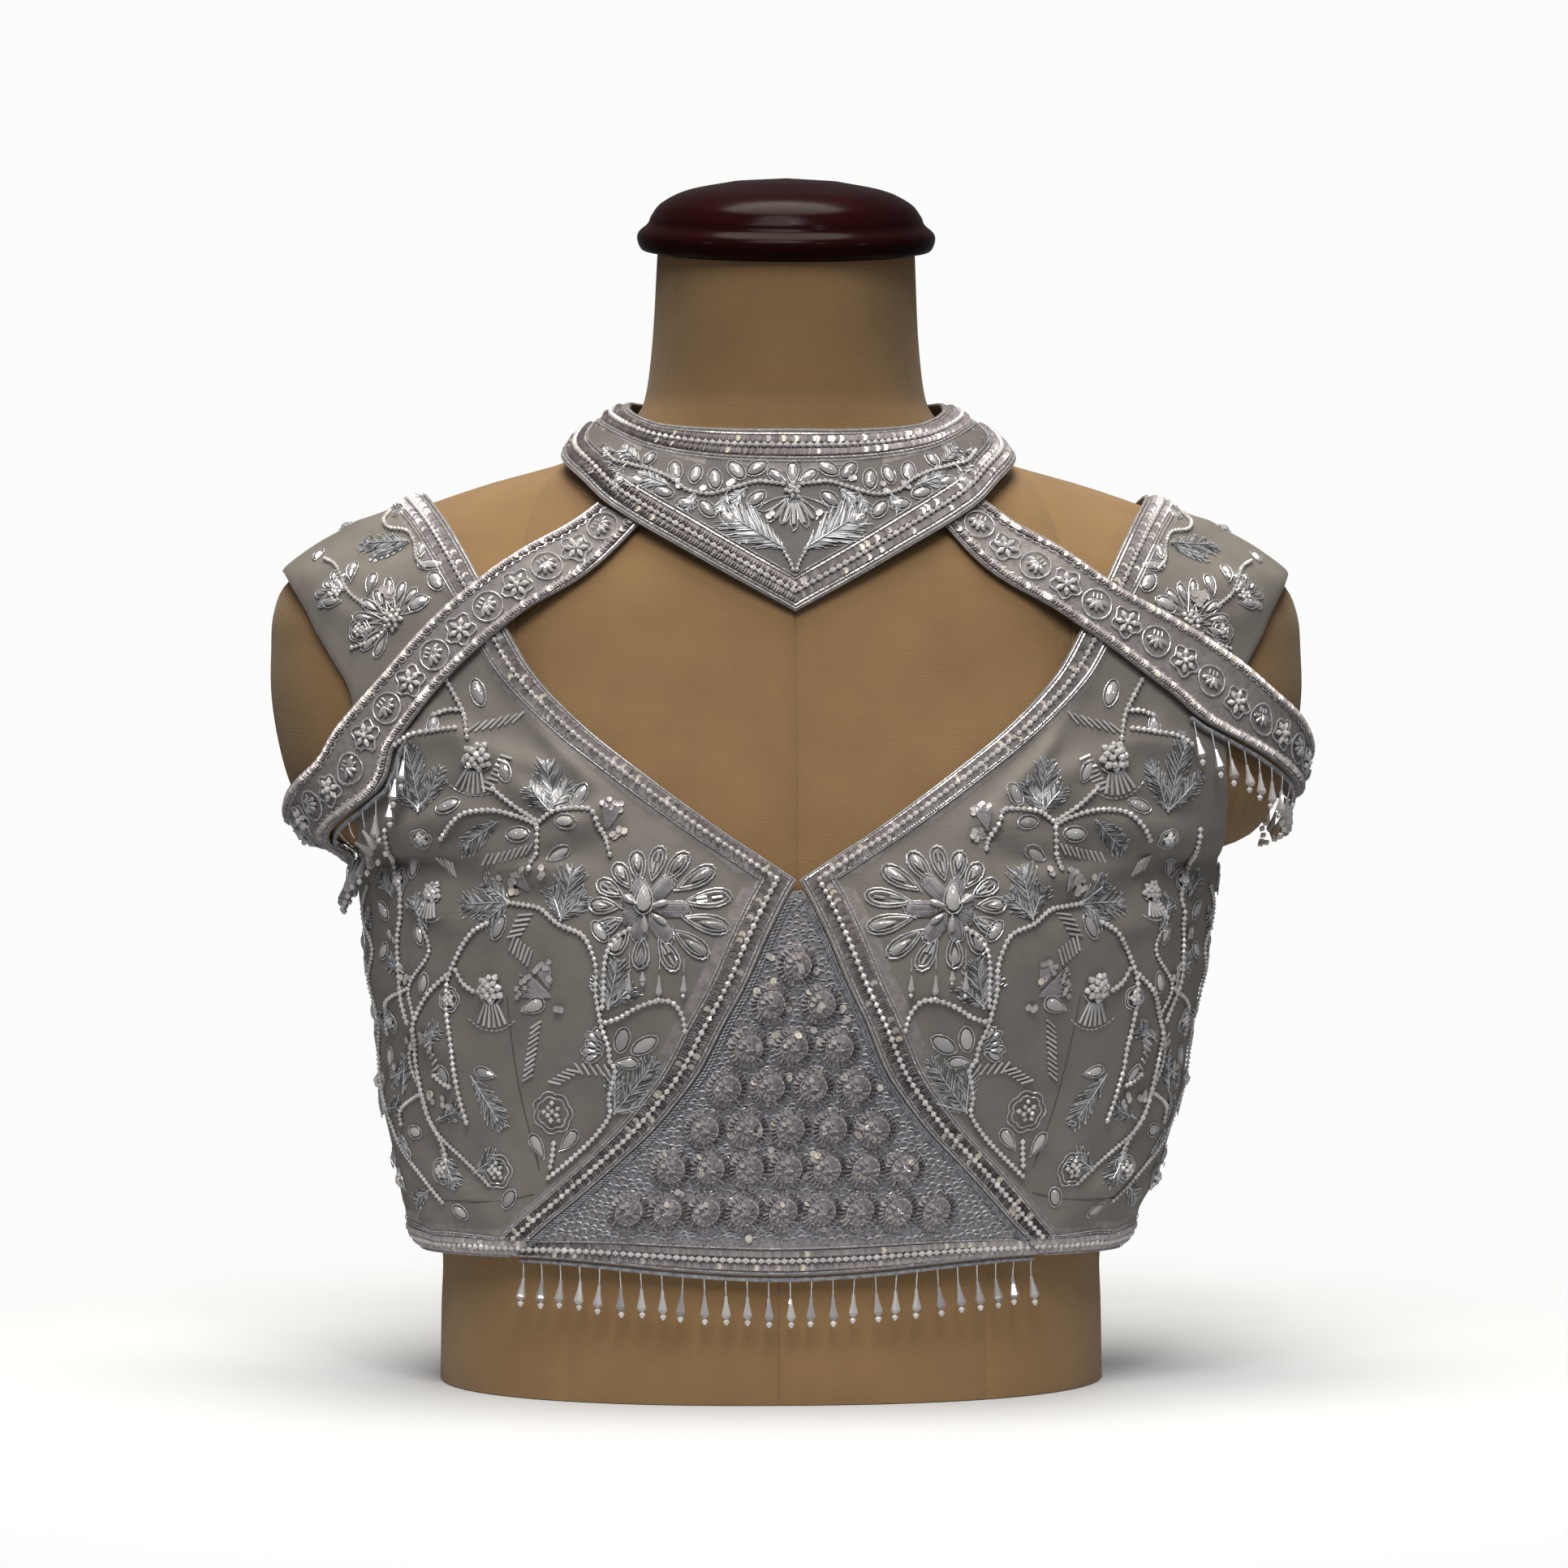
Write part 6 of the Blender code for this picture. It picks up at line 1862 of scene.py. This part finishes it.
def fading_floor():
    """Pale floor that fades into the backdrop with its distance from the form."""
    pale = finish("pale_floor", (0.82, 0.84, 0.88), (0.84, 0.86, 0.9), 3, 0.9)
    tree = pale.node_tree
    shader = tree.nodes["Principled BSDF"]
    place = tree.nodes.new("ShaderNodeTexCoord")
    reach = tree.nodes.new("ShaderNodeVectorMath")
    reach.operation = "LENGTH"
    tree.links.new(place.outputs["Object"], reach.inputs[0])
    fade = tree.nodes.new("ShaderNodeMapRange")
    fade.interpolation_type = "SMOOTHSTEP"
    fade.inputs["From Min"].default_value = 0.2
    fade.inputs["From Max"].default_value = 0.55
    tree.links.new(reach.outputs["Value"], fade.inputs["Value"])
    clear = tree.nodes.new("ShaderNodeBsdfTransparent")
    mix = tree.nodes.new("ShaderNodeMixShader")
    tree.links.new(fade.outputs["Result"], mix.inputs["Fac"])
    tree.links.new(shader.outputs["BSDF"], mix.inputs[1])
    tree.links.new(clear.outputs["BSDF"], mix.inputs[2])
    tree.links.new(mix.outputs["Shader"], tree.nodes["Material Output"].inputs["Surface"])
    return pale


# In metres from here on. The camera stands level, a little to the left, and the lamps look at one point.
CAMERA_AWAY, CAMERA_HEIGHT, CAMERA_TURN_DEG = 1.8, 0.2425, -2
FOCAL_LENGTH_MM = 100.1
LAMPS_LOOK_AT = (0, 0, 0.27)
FLOOR_RADIUS, FLOOR_SIDES = 9, 96
# Lamps: name, place, size, power, colour. The small ones are there for the glints on beads and crystals.
LAMPS = (
    ("overhead", (-0.03, -0.02, 2.0), 1.3, 30, (1, 0.94, 0.82)),
    ("front_above", (-0.15, -1.2, 1.6), 1.0, 21, (1, 0.97, 0.92)),
    ("glint_1", (-0.8, -1.4, 1.5), 0.06, 1.6, (1, 0.98, 0.95)),
    ("glint_2", (0.7, -1.5, 1.3), 0.06, 1.6, (1, 0.98, 0.95)),
    ("glint_3", (0.1, -1.2, 1.7), 0.06, 1.8, (1, 0.95, 0.85)),
    ("glint_4", (-1.5, -0.8, 0.9), 0.06, 1.0, (0.95, 0.97, 1)),
    ("glint_5", (1.4, -0.9, 0.7), 0.06, 1.0, (0.95, 0.97, 1)),
    ("behind", (0.5, 1.7, 1.1), 1.2, 10, (1, 0.97, 0.93)),
)


def camera_and_light():
    """Camera at the photograph's level view, a large soft light above and in front, and a pale floor."""
    data = bpy.data.cameras.new("camera")
    data.lens = FOCAL_LENGTH_MM
    data.clip_end = 50
    seen_from = bpy.data.objects.new("camera", data)
    azimuth = math.radians(CAMERA_TURN_DEG)
    away = (CAMERA_AWAY * math.sin(azimuth), -CAMERA_AWAY * math.cos(azimuth))
    seen_from.location = (*away, CAMERA_HEIGHT)
    seen_from.rotation_euler = (math.pi / 2, 0, azimuth)
    bpy.context.collection.objects.link(seen_from)
    bpy.context.scene.camera = seen_from
    target = mathutils.Vector(LAMPS_LOOK_AT)
    for name, place_at, size, power, tone in LAMPS:
        lamp = bpy.data.lights.new(name, "AREA")
        lamp.shape = "DISK"
        lamp.size = size
        lamp.energy = power
        lamp.color = tone
        holder = bpy.data.objects.new(name, lamp)
        holder.location = place_at
        holder.rotation_euler = (holder.location - target).to_track_quat("Z", "Y").to_euler()
        holder.visible_glossy = name != "behind"
        bpy.context.collection.objects.link(holder)
    world = bpy.data.worlds.new("studio")
    bpy.context.scene.world = world
    world.use_nodes = True
    tree = world.node_tree
    backdrop = tree.nodes["Background"]
    backdrop.inputs["Color"].default_value = (0.97, 0.98, 1, 1)
    backdrop.inputs["Strength"].default_value = 0.1
    bright = tree.nodes.new("ShaderNodeBackground")
    bright.inputs["Color"].default_value = (0.97, 0.97, 0.965, 1)
    bright.inputs["Strength"].default_value = 1.0
    rays = tree.nodes.new("ShaderNodeLightPath")
    mix = tree.nodes.new("ShaderNodeMixShader")
    output = tree.nodes["World Output"]
    tree.links.new(rays.outputs["Is Camera Ray"], mix.inputs["Fac"])
    tree.links.new(backdrop.outputs["Background"], mix.inputs[1])
    tree.links.new(bright.outputs["Background"], mix.inputs[2])
    tree.links.new(mix.outputs["Shader"], output.inputs["Surface"])
    turn = np.arange(FLOOR_SIDES) * 2 * math.pi / FLOOR_SIDES
    rim = np.column_stack([on_circle(turn) * FLOOR_RADIUS, np.full(FLOOR_SIDES, -0.0003)])
    mesh = bpy.data.meshes.new("floor")
    mesh.from_pydata(rim.tolist(), [], [list(range(FLOOR_SIDES))])
    mesh.materials.append(fading_floor())
    floor = bpy.data.objects.new("floor", mesh)
    bpy.context.collection.objects.link(floor)
    floor.visible_glossy = False
    bpy.context.scene.view_settings.view_transform = "Standard"


def waist_darts():
    """Stitched line of each waist dart, and of the short seam that crosses to the side near the hem."""
    for label, side in (("left", -1), ("right", 1)):
        lines = []
        for rows in DART_ROWS:
            curve = smooth_rows(rows, 40)
            base = on_body(angle_at(side * curve[:, 0], curve[:, 1]), curve[:, 1])
            lines.append(base + outward(base) * (folds(base, FRONT_RELIEF) + CLOTH + 0.02)[:, None])
        cords(f"waist_dart_{label}", lines, 0.24, 4, [seam_thread])


def hooks():
    """The hooks keep their solids and take the metal finish."""
    for name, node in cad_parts.items():
        if "hook" in name:
            node.data.materials.clear()
            node.data.materials.append(metal)


COLLAR = collar_grid(COLLAR_AROUND, COLLAR_DOWN)

dress_form()
neck_cap()
fronts()
backs()
centre_panel()
seam_cords()
collar()
for label, way, front_table, back_table, draw in (
    ("left", -1, LEFT_FRONT_ROWS, LEFT_BACK_ROWS, 51),
    ("right", 1, RIGHT_FRONT_ROWS, RIGHT_BACK_ROWS, 52),
):
    fine_path = strap_path(front_table, back_table, 200)
    cross_strap(f"cross_strap_{label}", way, fine_path, draw)
    coarse = strap_path(front_table, back_table, 40)[1]
    reach_along = walked(coarse)
    hung_part = reach_along[np.abs(on_body(coarse[:, 0], coarse[:, 1])[:, 0]) > STRAP_FRINGE_FROM_X]
    strands = int((hung_part[-1] - hung_part[0]) / STRAP_STRAND_PITCH)
    strand_stops = hung_part[0] + (np.arange(strands) + 0.5) * (hung_part[-1] - hung_part[0]) / strands
    fringe(f"strap_fringe_{label}", coarse, strand_stops, stand_off, hung_outward, way, draw + 2)

# Places of the hem fringe's strands along the hem
hem_x = np.linspace(-HEM_FRINGE_REACH, HEM_FRINGE_REACH, 120)
hem_angle = angle_at(hem_x, np.full(hem_x.shape, float(HEM_FRONT_Z)))
hem_path = np.stack([hem_angle, hem_height(hem_angle)], axis=-1)
hem_pitch = (walked(hem_path)[-1] - 4 * STRAND_ROOT) / (HEM_STRANDS - 1)
hem_stops = 2 * STRAND_ROOT + np.arange(HEM_STRANDS) * hem_pitch
fringe("hem_fringe", hem_path, hem_stops, lambda point: 0 * point[..., 0], outward, 1, 61)

waist_darts()
hooks()
camera_and_light()
